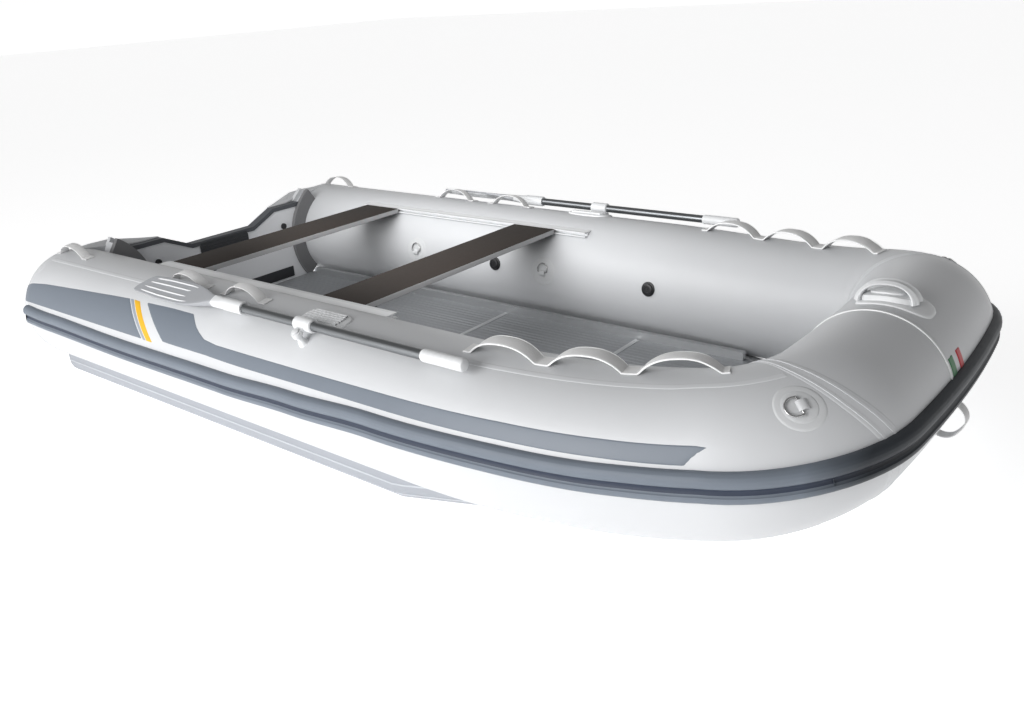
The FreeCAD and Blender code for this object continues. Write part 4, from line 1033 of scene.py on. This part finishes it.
class DINGHY_OT_seats(PieceOperator):
    """Build the seat boards and the blocks that slide in the tracks."""

    bl_idname = "dinghy.seats"
    bl_label = "Seats"

    # A block in the track and a clip under the board: inset fore and aft, and reach from the board's end
    BLOCK = dict(inset=0.012, reach=(0, 0.060))
    CLIP = dict(inset=0.004, reach=(0.030, 0.075))

    def make(self):
        for place in ("aft", "forward"):
            body = "seat_" + place
            low, high = (np.array(c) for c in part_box("thwart_" + place))
            board = soft_block(Shell(), low + (0, 0.020, 0), high - (0, 0.020, 0), 0.0022, axis=1)
            board.build(body, ["seat_board", "board_edge"], body, ["thwart_" + place], angle=25,
                        paint=lambda normals: np.abs(normals[:, 0]) > 0.6)
            ends = Shell()
            for sign in (-1, 1):
                for part, foot, top in ((self.BLOCK, low[2] + 0.0055, high[2] - 0.0055),
                                        (self.CLIP, low[2] - 0.004, low[2] + 0.002)):
                    near, far = sorted(sign * (high[1] - reach) for reach in part["reach"])
                    soft_block(ends, (low[0] + part["inset"], near, foot),
                               (high[0] - part["inset"], far, top), 0.002)
            ends.build("seat_blocks_" + place, "black_plastic", body)


def oar_axes():
    """The starboard oar's pin and axes (along, inboard round the tube, outwards), and its shaft's height.

    The height is that of the CAD shaft's middle over the joint's point."""
    joint = next(j for j in frame["joints"] if j["name"] == "oar_pivot_starboard")
    origin, out = np.array(joint["pos_m"], float), unit(np.array(joint["axis"], float))
    along = np.array([1.0, 0, 0])
    middle = np.mean(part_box("oar_shaft_starboard"), axis=0)
    return origin, along, np.cross(out, along), out, float(np.dot(middle - origin, out))


class DINGHY_OT_oars(PieceOperator):
    """Build the oars: ribbed blades, sockets, shafts, collars and grips."""

    bl_idname = "dinghy.oars"
    bl_label = "Oars"

    INBOARD = 0.040  # shaft's axis from the pin
    SHAFT = (-0.300, 0.484)  # its ends, ahead of the pin
    GRIP = ((0.478, 0.480, 0.484), (0.490, 0.612), (0.620, 0.625, 0.628, 0.629))  # mouth, sleeve, end
    ROOT, NECK_END = -0.466, -0.386  # blade's root, and where its neck meets the socket
    WAIST, THIN, SWELL = 0.0195, 0.0032, 0.010  # neck's half width, blade's half thickness and its gain
    SLANT = 0.034  # how far the tip's corners lie fore and aft
    # Each rib's place across the blade, and where along it the rib starts and ends, as shares
    RIBS = ((-0.80, 0.06, 0.80), (-0.30, 0.05, 0.72), (0.28, 0.05, 0.72), (0.78, 0.07, 0.80))
    # Collar: stations along the shaft, and the radii between its two ends
    COLLAR = (-0.038, -0.036, -0.034, 0.034, 0.036, 0.038)
    COLLAR_RADII = (0.0200, 0.0212, 0.0212, 0.0200)
    BRIDGE = (0.030, -0.028, -0.006)  # the bridge's length, and where it starts and ends across
    EAR, EAR_HOLE = 0.0085, 0.0076  # half the ear's height, and its hole's radius

    def make(self):
        origin, along, side, out, base = oar_axes()
        f = fittings()
        turn = np.linspace(0, FULL_TURN, 40, endpoint=False)
        r, g = f.shaft / 2, f.grip / 2

        def place(points):
            """Oar coordinates to the boat's: x from the pin, y and z from the shaft's axis."""
            return (origin + points[..., :1] * along + (points[..., 1:2] + self.INBOARD) * side
                    + (points[..., 2:] + base) * out)

        def rod(shell, stations, radii, mark=0):
            """Circles of the radii at the stations along the shaft."""
            x, radii = np.array(stations)[:, None] + 0 * turn, np.array(radii)[:, None]
            return shell.sweep(place(np.stack([x, radii * np.cos(turn), radii * np.sin(turn)], -1)), mark)

        def build(shell, piece, finishes, angle=35):
            both_sides(shell, piece + "_{}", finishes, "oar_" + piece + "_{}", "oar_{}", angle=angle)

        build(rod(Shell(), self.SHAFT, [r, r]), "shaft", "shaft_metal", 40)
        # Grip: a sleeve whose radius drops in six ring grooves, with a rounded end
        mouth, sleeve, end = self.GRIP
        grooves = np.sin(np.linspace(0, 12 * np.pi, 60)) > 0.4
        build(rod(Shell(), np.r_[mouth, np.linspace(*sleeve, 60), end],
                  np.r_[0, r + 0.001, g * 0.97, g * (1 - 0.025 * grooves),
                        g * 0.98, g * 0.85, g * 0.55, 0.0]),
              "grip", "white_plastic")
        build(self.blade(place, rod, turn, r), "blade", ["blade_plastic", "white_plastic"])
        # Collar: a ring on the shaft, an ear round the pin and a bridge between them
        collar = rod(Shell(), self.COLLAR, [r + 0.001, *self.COLLAR_RADII, r + 0.001])
        ear, hole = self.EAR, self.EAR_HOLE
        turned(collar, [(-ear, hole), (-ear, 0.0150), (0.001 - ear, 0.0160), (ear - 0.001, 0.0160),
                        (ear, 0.0150), (ear, hole), (-ear, hole)], origin + base * out, out, along, 36)
        outline = rounded_box_outline(self.BRIDGE[0], 2 * ear * 0.96, 0.003)
        collar.sweep(place(np.stack([np.insert(outline, 1, y, axis=1) for y in self.BRIDGE[1:]])))
        build(collar, "collar", "white_plastic")

    def blade(self, place, rod, turn, r):
        """The blade: superellipse sections whose half width, half thickness and power follow x.

        The width grows from the tip and narrows to the root, the neck eases into the
        socket, and ribs of oval section stand out of both faces."""
        full = fittings().blade_width / 2
        root, waist = self.ROOT, self.WAIST
        tip = root - fittings().blade
        x = np.linspace(tip, self.NECK_END, 90)
        share, neck = ramp(x, tip, root), ramp(x, root, self.NECK_END)
        # Half width: 80% behind the tip, full from a third of the way and 38% at the root
        outline = full * np.minimum(0.80 + 0.55 * np.minimum(share, 0.35), 1)
        outline = outline * (1 - 0.62 * ramp(share, 0.62, 1) ** 1.6)
        # A quarter round takes the very tip down to 55%
        outline *= 0.55 + 0.45 * np.sqrt(1 - (1 - ramp(share, 0, 0.05)) ** 2)
        thick = self.THIN + self.SWELL
        half_width = np.where(x < root, outline, waist + (outline[-1] - waist) * (1 - neck) ** 2)
        half_thick = np.where(x < root, self.THIN + self.SWELL * ramp(share, 0.55, 1) ** 2,
                              thick + (waist - thick) * neck)
        around = np.linspace(0, FULL_TURN, 96, endpoint=False)
        power = 2 / (2 + 6 * (1 - ramp(x, -0.60, -0.40)))[:, None]
        y, z = (half[:, None] * np.sign(c) * np.abs(c) ** power
                for half, c in ((half_width, np.cos(around)), (half_thick, np.sin(around))))
        slant = self.SLANT * y / full * (1 - share)[:, None] ** 3
        points = place(np.stack([x[:, None] + slant, y, z], -1))
        edge = int(np.searchsorted(x, root + 0.012))
        shell = Shell().grid(points[:edge + 1], wrap_columns=True)
        shell.grid(points[edge:], wrap_columns=True, mark=1)
        shell.fan(points[0]).fan(points[-1], mark=1)
        rod(shell, [-0.388, -0.386, -0.300, -0.296, -0.296], [0.0190, 0.0212, 0.0212, 0.0200, r + 0.0004], 1)
        t = np.linspace(0, 1, 40)
        for centre, start, reach in self.RIBS:
            part = start + (reach - start) * t
            rib_y = centre * full * np.interp(part, share, outline / full) * 0.92
            rib_x = tip + (root - tip) * part + self.SLANT * rib_y / full * (1 - part) ** 3
            half = (0.0046 * np.clip(1 - (2 * t - 1) ** 8, 0.02, 1))[:, None]
            rib = np.stack([rib_x[:, None] + 0 * turn, rib_y[:, None] + half * 0.8 * np.cos(turn),
                            1.35 * half * np.sin(turn)], -1)
            shell.sweep(place(rib), mark=1)
        return shell


class DINGHY_OT_rowlocks(PieceOperator):
    """Build the ribbed rowlock pads and their pins."""

    bl_idname = "dinghy.rowlocks"
    bl_label = "Rowlocks"

    # Pads: angle, half length, half width, height and power; then the ribs over the first
    PADS = ((102, 0.100, 0.050, 0.0070, 3.0), (102, 0.088, 0.042, 0.0088, 3.0),
            (128, 0.017, 0.017, 0.0035, 2.0))
    RIB_STEP, RIB_REACH = 9.5, 0.078
    STEM, NECK, GAP = 0.010, 0.0068, 0.0088  # pin's radius, its neck's, and half the ear's room

    def make(self):
        line = TubeLine()
        origin, along, _, out, base = oar_axes()
        shell = Shell()
        w = line.at_x(origin[0])
        for pad in self.PADS:
            pad_on_tube(line, shell, w, *pad)
        for k in np.linspace(-0.8, 0.8, 7):
            reach = self.RIB_REACH * math.sqrt(1 - 0.35 * k * k)
            angle = self.PADS[0][0] + self.RIB_STEP * k
            tape_on_tube(line, shell, [(w - reach, angle), (w + reach, angle)], 0.0060, 0.0125, 24)
        stem, low, high = self.STEM, base - self.GAP, base + self.GAP
        turned(shell, [(-0.004, stem * 1.5), (0.006, stem * 1.35), (0.012, stem), (low - 0.0012, stem),
                       (low - 0.0006, self.NECK), (high + 0.0008, self.NECK), (high + 0.0010, stem * 1.1),
                       (high + 0.0042, stem * 1.1), (high + 0.0060, stem * 0.7), (high + 0.0062, 0)],
               origin, out, along)
        both_sides(shell, "rowlock_{}", "white_plastic", "rowlock_base_{}", angle=35)


class DINGHY_OT_bow_fittings(PieceOperator):
    """Build the moulded bow handle and the towing loop."""

    bl_idname = "dinghy.bow_fittings"
    bl_label = "Bow fittings"

    HANDLE_ANGLE, HANDLE_REACH, LOOP_ANGLE = 87, 20, 212
    ACROSS = (0.0, 1.0, 0.0)
    # Base pads: angle, half length, half turn round the tube, height and power
    BASE = ((93, 0.062, 30, 0.0060, 3.0), (88, 0.046, 20, 0.0200, 2.8), (87, 0.030, 13, 0.0260, 2.2))
    # Towing loop: half its span, its feet's reach, its rise, and the webbing across and thick
    LOOP_HALF, LOOP_FOOT, LOOP_RISE, WIDE, THICK = 0.052, 0.028, 0.040, 0.036, 0.0036

    def make(self):
        line = TubeLine()
        r = sizes().bow_tube
        # Base pad, then the grip that arches over it along the tube's section
        shell = Shell()
        for angle, half_along, half_round, height, power in self.BASE:
            pad_on_tube(line, shell, line.half, angle, half_along, r * math.radians(half_round),
                        height, power)
        t = np.linspace(-1, 1, 61)
        path = line.skin(np.full(t.shape, line.half), self.HANDLE_ANGLE + self.HANDLE_REACH * t,
                         0.008 + 0.037 * arch(t, 2.6, 0.75))
        # Section: a flat strap with two ribs along its top; it widens and thickens to its feet
        u = np.linspace(-1, 1, 25)
        top = 0.0040 + 0.0030 * np.exp(-((np.abs(u) - 0.52) / 0.17) ** 2) - 0.0035 * np.abs(u) ** 8
        under = -0.0045 + 0.003 * np.abs(u) ** 8
        section = np.stack([np.r_[u, u[::-1]], np.r_[top, under[::-1]]], -1)
        growth = np.stack([0.024 + 0.010 * np.abs(t) ** 5, 1 + 0.8 * np.abs(t) ** 6], -1)
        ribbon(shell, path, self.ACROSS, section * growth[:, None])
        shell.build("bow_grip", "white_plastic", replaces=["bow_handle"], angle=35)
        # Towing loop: an arch of webbing, with feet laid on the skin
        t = np.linspace(-1, 1, 41)
        angle = self.LOOP_ANGLE + math.degrees(self.LOOP_HALF / r) * t
        foot = math.degrees(self.LOOP_FOOT / r)
        angle = np.r_[angle[0] - foot, angle[0] - foot / 2, angle, angle[-1] + foot / 2, angle[-1] + foot]
        rise = np.r_[0.0020, 0.0024, 0.0025 + self.LOOP_RISE * arch(t, 3.2), 0.0024, 0.0020]
        loop = ribbon(Shell(), line.skin(np.full(angle.shape, line.half), angle, rise), self.ACROSS,
                      rounded_box_outline(self.WIDE, self.THICK, 0.0015, 3))
        loop.build("towing_loop", "webbing", replaces=["bow_loop"])


class DINGHY_OT_rings(PieceOperator):
    """Build the D-rings on their round patches."""

    bl_idname = "dinghy.rings"
    bl_label = "D-rings"

    CORNER_TURN, CORNER_ANGLE = 48, 128  # the ring outside the bow corner
    INNER, INNER_ANGLE = (1.010, 1.718), 9.5  # the rings inside, ahead of the stern
    BEND, WIRE, LIFT = 0.023, 0.0025, 0.0062  # ring's bend, wire's radius and the ring's height

    def make(self):
        line = TubeLine()
        patch, ring = Shell(), Shell()
        half = fittings().patch / 2
        corner = line.w2 + sizes().corner * (math.radians(self.CORNER_TURN) - line.SIDE_TURN)
        places = [(corner, self.CORNER_ANGLE, 0)]
        places += [(line.at_x(line.stern + x), self.INNER_ANGLE, 90) for x in self.INNER]
        # D outline: a half round and a straight bar, followed by a round wire
        turn = np.linspace(-np.pi / 2, np.pi / 2, 24)
        flat = np.concatenate([
            np.stack([0.012 + self.BEND * np.cos(turn), self.BEND * np.sin(turn)], -1),
            np.stack([np.zeros(12), np.linspace(self.BEND, -self.BEND, 12)], -1)])
        run = unit(np.roll(flat, -1, 0) - np.roll(flat, 1, 0))
        normal = np.stack([-run[:, 1], run[:, 0]], -1)
        phi = np.linspace(0, FULL_TURN, 12, endpoint=False)
        plane = flat[:, None] + self.WIRE * np.cos(phi)[:, None] * normal[:, None]
        height = np.broadcast_to(self.LIFT + self.WIRE * np.sin(phi), plane.shape[:2])[..., None]
        t = np.linspace(-1, 1, 21)[:, None]
        for w, angle, spin in places:
            pad_on_tube(line, patch, w, angle, half, half, 0.0016)
            pad_on_tube(line, patch, w, angle, half * 0.72, half * 0.72, 0.0028)
            origin, ahead, side, out = line.seat(w, angle)
            pull = -(math.cos(math.radians(spin)) * ahead + math.sin(math.radians(spin)) * side)
            across = np.cross(out, pull)
            ring.grid(origin + plane[..., :1] * pull + plane[..., 1:] * across + height * out,
                      wrap_rows=True, wrap_columns=True)
            # Tab over the bar
            tab = origin + (0.012 * t - 0.006) * pull + (0.0040 + 0.0062 * arch(t, 3, 1)) * out
            ribbon(patch, tab, across, rounded_box_outline(0.026, 0.0026, 0.0012, 3))
        both_sides(patch, "ring_patches_{}", "patch_rubber", "d_rings_{}", angle=35)
        both_sides(ring, "rings_{}", "ring_steel")


class DINGHY_OT_valves(PieceOperator):
    """Build the valve flanges and caps."""

    bl_idname = "dinghy.valves"
    bl_label = "Valves"

    PLACES, ANGLE = (1.466, 2.211), 9.5  # ahead of the stern, and round the tube
    PROFILE = ((-0.002, 1), (0.001, 1), (0.0028, 0.97), (0.0040, 0.90), (0.0042, 0.80), (0.0100, 0.77),
               (0.0118, 0.74), (0.0125, 0.68), (0.0125, 0.42), (0.0105, 0.40), (0.0105, 0.12),
               (0.0125, 0.10), (0.0125, 0))

    def make(self):
        line = TubeLine()
        shell = Shell()
        profile = np.array(self.PROFILE) * (1, fittings().valve / 2 + 0.004)
        for x in self.PLACES:
            origin, ahead, _, out = line.seat(line.at_x(line.stern + x), self.ANGLE)
            turned(shell, profile, origin, out, ahead, 36)
        both_sides(shell, "valve_caps_{}", "black_plastic", "valves_{}", angle=30)


class DINGHY_OT_transom(PieceOperator):
    """Dress the transom: ribbed motor pads, the cap over them and the foot band."""

    bl_idname = "dinghy.transom"
    bl_label = "Transom"

    # A rib's half height, how far it stands out of the pad and into it, and its inset from the pad's ends
    RIB_HALF, RIB_PROUD, RIB_ROOT, RIB_END = 0.002, 0.0016, 0.001, 0.012
    BAND = (0.365, 0.157, 0.208, 0.005)  # half width, foot, top and depth

    def make(self):
        inside, outside = (np.array(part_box("motor_pad_" + side)) for side in ("inside", "outside"))
        pads = (("inside", inside, 5, 0.010), ("outside", outside, 9, 0.012))
        for side, (low, high), count, margin in pads:
            pad = soft_block(Shell(), low, high, 0.004, axis=1)
            face, sign = (high[0], 1) if side == "inside" else (low[0], -1)
            near, far = sorted((face - sign * self.RIB_ROOT, face + sign * self.RIB_PROUD))
            for z in np.linspace(low[2] + margin, high[2] - margin, count):
                soft_block(pad, (near, low[1] + self.RIB_END, z - self.RIB_HALF),
                           (far, high[1] - self.RIB_END, z + self.RIB_HALF), 0.001, axis=1)
            if side == "inside":
                # The cap over both pads
                top = max(high[2], outside[1][2]) + 0.012
                soft_block(pad, (outside[0][0] + 0.004, low[1] + 0.004, high[2] - 0.004),
                           (high[0] - 0.001, high[1] - 0.004, top), 0.004, axis=1)
            pad.build("pad_" + side, "pad_plastic", replaces=["motor_pad_" + side], angle=35)
        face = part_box("transom")[1][0]
        half, foot, top, depth = self.BAND
        band = soft_block(Shell(), (face, -half, foot), (face + depth, half, top), 0.002, axis=1)
        band.build("transom_foot_band", "pad_plastic")


def even_copy(node, voxel):
    """A copy of a CAD node's mesh, merged and remeshed evenly."""
    mesh = CAD[node].data.copy()
    work = bmesh.new()
    work.from_mesh(mesh)
    bmesh.ops.remove_doubles(work, verts=work.verts, dist=1e-5)
    work.to_mesh(mesh)
    work.free()
    item = bpy.data.objects.new("scratch", mesh)
    bpy.context.scene.collection.objects.link(item)
    even = item.modifiers.new("even", "REMESH")
    even.mode = "VOXEL"
    even.voxel_size = voxel
    result = bpy.data.meshes.new_from_object(item.evaluated_get(bpy.context.evaluated_depsgraph_get()))
    bpy.data.objects.remove(item)
    bpy.data.meshes.remove(mesh)
    return result


class DINGHY_OT_bottom(PieceOperator):
    """Build the fabric bottom, the skins of the speed tubes and the transom's gussets."""

    bl_idname = "dinghy.bottom"
    bl_label = "Bottom"

    VOXEL, WAVE = 0.014, 0.0022
    # Speed tube: where it starts, starts to rise and ends; its radius, middle, cheek's height and rise
    START, LEVEL, END, ROUND_END = -1.677, 0.313, 0.813, 0.012
    RADIUS, MIDDLE, CHEEK, RISE = 0.0625, -0.6885, 0.185, 0.115
    SEAMS = ((0.102, 0.004), (0.066, 0.003), (0.030, 0.003))  # height and half width of each seam
    # Gusset, from the shoulder out to the tube: share of the way, how far it lies back,
    # how deep it is, and how high its front and its rear edge lie
    GUSSET = ((0, 0, 0.3, 0, 0.1), (0.3, 0, 0.75, 0.1, 0.62), (0.55, 1, 1, 0.35, 0.97),
              (0.8, 1, 1, 0.7, 0.95), (1, 1, 1, 1, 0.75))
    FACE, BASE, INNER, REACH = -1.5375, 0.5153, 0.300, 0.350

    def make(self):
        self.skin()
        self.speed_tubes()
        self.gussets()

    def skin(self):
        """The hull's bottom, moved along its normals by shallow waves that die at the keel and the tubes."""
        mesh = even_copy("hull_bottom", self.VOXEL)
        points, normals = np.empty((2, len(mesh.vertices) * 3), np.float32)
        mesh.vertices.foreach_get("co", points)
        mesh.vertex_normals.foreach_get("vector", normals)
        points, normals = points.reshape(-1, 3), normals.reshape(-1, 3)
        x, y = points[:, 0], points[:, 1]
        wave = np.sin(x * 9.0 + y * 3.0) * np.sin(x * 3.7 + 1.0)
        drop = self.WAVE * wave * np.sin(np.pi * ramp(np.abs(y), 0, 0.5)) * (normals[:, 2] < -0.3)
        mesh.vertices.foreach_set("co", (points + normals * drop[:, None]).ravel())
        mesh.materials.clear()
        mesh.materials.append(finish("bottom_fabric"))
        mesh.polygons.foreach_set("material_index", np.zeros(len(mesh.polygons), np.int32))
        mesh.polygons.foreach_set("use_smooth", np.ones(len(mesh.polygons), bool))
        add_piece("skin_bottom", mesh, "hull_fabric", "boat", ["hull_bottom"])

    def speed_tubes(self):
        """Half rounds under straight cheeks, whose fore ends rise evenly, and their seams; the half rounds
        take a darker fabric as painted shade on their undersides.
        """
        start, level, end, soft = self.START, self.LEVEL, self.END, self.ROUND_END
        r, middle, cheek = self.RADIUS, self.MIDDLE, self.CHEEK
        x = np.r_[start + soft * (1 - np.cos(np.linspace(0, np.pi / 2, 6))),
                  smooth_steps(start + 0.03, level, 0.05), smooth_steps(level, end, 0.04)[1:]]
        lift = self.RISE * ramp(x, level, end)
        inset = soft * (1 - np.sqrt(1 - (1 - ramp(x, start, start + soft)) ** 2))[:, None]
        turn = np.linspace(np.pi, FULL_TURN, 25)
        wall = np.linspace(1, 0, 7)[:-1]
        y = np.r_[-r + 0 * wall, r * np.cos(turn), r + 0 * wall]
        z = np.r_[r + (cheek - r) * wall, r + r * np.sin(turn), r + (cheek - r) * wall[::-1]]
        sections = np.stack([np.broadcast_to(x[:, None], (len(x), len(y))), middle + y * (1 - inset / r),
                             lift[:, None] + np.maximum(z + inset * (z < r), 0)], -1)
        first, last = len(wall) - 2, len(wall) + len(turn) + 1
        tube = Shell().grid(sections[:, :first + 1]).grid(sections[:, first:last + 1], mark=1)
        tube.grid(sections[:, last:]).grid(sections[:, [-1, 0]]).fan(sections[0], mark=1).fan(sections[-1])
        # The half rounds (mark 1) take the darker fabric, as painted shade on the undersides
        both_sides(tube, "skin_speed_tube_{}", ["hull_fabric", "ledge_fabric"], "speed_tube_{}", angle=60)
        seams = Shell()
        xs = smooth_steps(start + 0.015, end - 0.12, 0.05)[:, None]
        for side in (-1, 1):
            for height, wide in self.SEAMS:
                up = height + np.array([-1, -0.8, 0.8, 1]) * wide
                out = np.where(up > r, r, np.sqrt(np.clip(r * r - (r - up) ** 2, 0, None)))
                proud = np.array([-0.0004, 0.0014, 0.0014, -0.0004])
                shape = len(xs), 4
                seams.grid(np.stack([np.broadcast_to(xs, shape),
                                     np.broadcast_to(middle + side * (out + proud), shape),
                                     self.RISE * ramp(xs, level, end) + up], -1))
        both_sides(seams, "speed_tube_seams_{}", "ledge_seam")

    def gussets(self):
        """Cloth from the transom's shoulder to the tube, straight from its front edge to its rear one,
        with small folds that run out along it; and an apron down from the front edge."""
        rows = np.array(self.GUSSET)
        out = np.linspace(0, 1, 60)[:, None]
        back, deep, front_rise, rear_rise = (np.interp(out, rows[:, 0], rows[:, k]) for k in (1, 2, 3, 4))
        q = np.linspace(0, 1, 20)
        front = self.FACE - 0.015 * back
        x = front - 0.060 * deep * q
        z = self.BASE - 0.003 + 0.033 * (front_rise * (1 - q) + (rear_rise - 0.25 * (1 - out)) * q)
        y = np.broadcast_to(-(self.INNER + self.REACH * out), x.shape)
        fold = 0.0016 * np.sin(9 * q * np.pi + 5 * out) * np.sin(np.pi * out) * np.sin(np.pi * q)
        top = np.stack([x, y, z + 0.004 + fold + 0.004 * np.sin(np.pi * q)], -1)
        under = np.stack([x, y, z + fold * 0.5], -1)
        cloth = Shell().sweep(np.concatenate([top, under[:, ::-1]], 1))
        # Apron: straight down behind the transom, with a slight belly
        drop = np.linspace(0, 1, 14)
        belly = 0.006 * np.sin(np.pi * drop) + 0.002 * np.sin(FULL_TURN * drop + 14 * out)
        hung = [np.stack([front - side - belly, np.broadcast_to(y[:, :1], belly.shape),
                          z[:, :1] + 0.002 - 0.125 * drop], -1) for side in (0.0005, 0.0035)]
        cloth.sweep(np.concatenate([hung[0], hung[1][:, ::-1]], 1))
        both_sides(cloth, "gusset_{}", "hull_fabric", angle=60)


class DINGHY_OT_finishes(PieceOperator):
    """Give the CAD nodes that stay in view their finishes."""

    bl_idname = "dinghy.finishes"
    bl_label = "Finishes of plain pieces"

    # How a node's name starts, and its finish; the first that fits counts
    RULES = (("keel_strip", "keel_rubber"), ("stringer", "rail_metal"), ("transom_holder", "holder_rubber"),
             ("transom_trim", "trim_rubber"), ("transom", "painted_board"), ("seat_track", "track_plastic"),
             ("tow_eyes", "black_plastic"))

    def make(self):
        for name, item in CAD.items():
            material = next((material for start, material in self.RULES if name.startswith(start)), None)
            if material and not item.hide_render:
                item.data.materials.clear()
                item.data.materials.append(finish(material))


class DINGHY_OT_stage(PieceOperator):
    """Build the pale floor, the soft lights and the camera."""

    bl_idname = "dinghy.stage"
    bl_label = "Stage"

    CAMERA = (2.14458, -2.37212, 1.44781)
    YAW, PITCH, ROLL = 129.53197, -21.89041, -3.77818
    FOCAL_PIXELS, FRAME_PIXELS, SENSOR = 908.486, 1024, 36.0
    FLOOR_HALF, FLOOR_GLOW = 40, 0.68
    # Place, what it is aimed at, length and width, and power
    LAMPS = {"key_near_side": ((-0.6, -5.4, 2.0), (0, 0, 0.35), (3.2, 3.2), 230),
             "cockpit_soft": ((-0.3, -0.15, 1.0), (-0.1, 0.65, 0.40), (1.9, 0.5), 9)}

    def make(self):
        self.floor()
        self.lights()
        self.camera()

    def floor(self):
        h = self.FLOOR_HALF
        mesh = bpy.data.meshes.new("stage_floor")
        mesh.from_pydata([(-h, -h, 0), (h, -h, 0), (h, h, 0), (-h, h, 0)], [], [(0, 1, 2, 3)])
        pale = Finish("pale_floor", "none")
        soft = pale.noise(0.6, 2.0)
        pale.set(Base_Color=pale.shade((0.82, 0.82, 0.825), 0.006, soft), Roughness=0.6 + 0.1 * soft,
                 Emission_Color=(1.0, 1.0, 1.0, 1.0), Emission_Strength=self.FLOOR_GLOW)
        mesh.materials.append(pale.material)
        item = bpy.data.objects.new("stage_floor", mesh)
        bpy.context.scene.collection.objects.link(item)

    def lights(self):
        """Light from all round, dimmer overhead and ahead of the bow; and two lamps."""
        scene = bpy.context.scene
        scene.view_settings.view_transform = "Standard"
        sky = Sky("studio")
        look = sky.axes(GENERATED)
        level = 0.26 + 0.76 * (1 - look.part(2) / 0.55).clamped()
        sky.set(Color=(1.0, 1.0, 1.0, 1.0), Strength=level * (1 - 0.60 * look.clamped()))
        scene.world = sky.world
        for name, (place, target, size, power) in self.LAMPS.items():
            light = bpy.data.lights.new(name, "AREA")
            light.shape = "RECTANGLE"
            light.size, light.size_y = size
            light.energy = power
            lamp = bpy.data.objects.new(name, light)
            lamp.location = place
            lamp.visible_camera = False
            lamp.rotation_euler = (Vector(target) - Vector(place)).to_track_quat("-Z", "Y").to_euler()
            scene.collection.objects.link(lamp)

    def camera(self):
        """The photograph's camera: its axes turned by yaw, pitch and roll."""
        camera = bpy.data.cameras.new("camera")
        camera.sensor_width = self.SENSOR
        camera.lens = self.FOCAL_PIXELS * self.SENSOR / self.FRAME_PIXELS
        camera.clip_end = 200
        yaw, pitch, roll = (math.radians(v) for v in (self.YAW, self.PITCH, self.ROLL))
        ahead = Vector((math.cos(pitch) * math.cos(yaw), math.cos(pitch) * math.sin(yaw), math.sin(pitch)))
        right = ahead.cross(Vector((0, 0, 1))).normalized()
        up = right.cross(ahead)
        cos, sin = math.cos(roll), math.sin(roll)
        right, up = cos * right + sin * up, cos * up - sin * right
        eye = bpy.data.objects.new("camera", camera)
        matrix = Matrix((right, up, -ahead)).transposed().to_4x4()
        matrix.translation = Vector(self.CAMERA)
        eye.matrix_world = matrix
        bpy.context.scene.collection.objects.link(eye)
        bpy.context.scene.camera = eye


OPERATORS = (DINGHY_OT_tubes, DINGHY_OT_seams, DINGHY_OT_stripes, DINGHY_OT_strake, DINGHY_OT_handles,
             DINGHY_OT_floor, DINGHY_OT_seats, DINGHY_OT_oars, DINGHY_OT_rowlocks, DINGHY_OT_bow_fittings,
             DINGHY_OT_rings, DINGHY_OT_valves, DINGHY_OT_transom, DINGHY_OT_bottom, DINGHY_OT_finishes,
             DINGHY_OT_stage)
GROUPS = ((DinghyHullSizes, "dinghy_hull"), (DinghyFittingSizes, "dinghy_fittings"),
          (DinghyColours, "dinghy_colours"))


class DINGHY_PT_panel(bpy.types.Panel):
    """Lists the operators and the sizes in the sidebar."""

    bl_label = "Dinghy"
    bl_idname = "DINGHY_PT_panel"
    bl_space_type = "VIEW_3D"
    bl_region_type = "UI"
    bl_category = "Dinghy"

    def draw(self, context):
        for operator in OPERATORS:
            self.layout.operator(operator.bl_idname)
        for kind, pointer in GROUPS:
            box = self.layout.box()
            for name in kind.__annotations__:
                box.prop(getattr(context.scene, pointer), name)


def register():
    for group, name in GROUPS:
        bpy.utils.register_class(group)
        setattr(bpy.types.Scene, name, bpy.props.PointerProperty(type=group))
    for operator in (*OPERATORS, DINGHY_PT_panel):
        bpy.utils.register_class(operator)


def unregister():
    for operator in (DINGHY_PT_panel, *reversed(OPERATORS)):
        bpy.utils.unregister_class(operator)
    for group, name in reversed(GROUPS):
        delattr(bpy.types.Scene, name)
        bpy.utils.unregister_class(group)


def main():
    register()
    for operator in OPERATORS:
        getattr(bpy.ops.dinghy, operator.bl_idname.split(".")[1])()


if __name__ == "__main__":
    main()
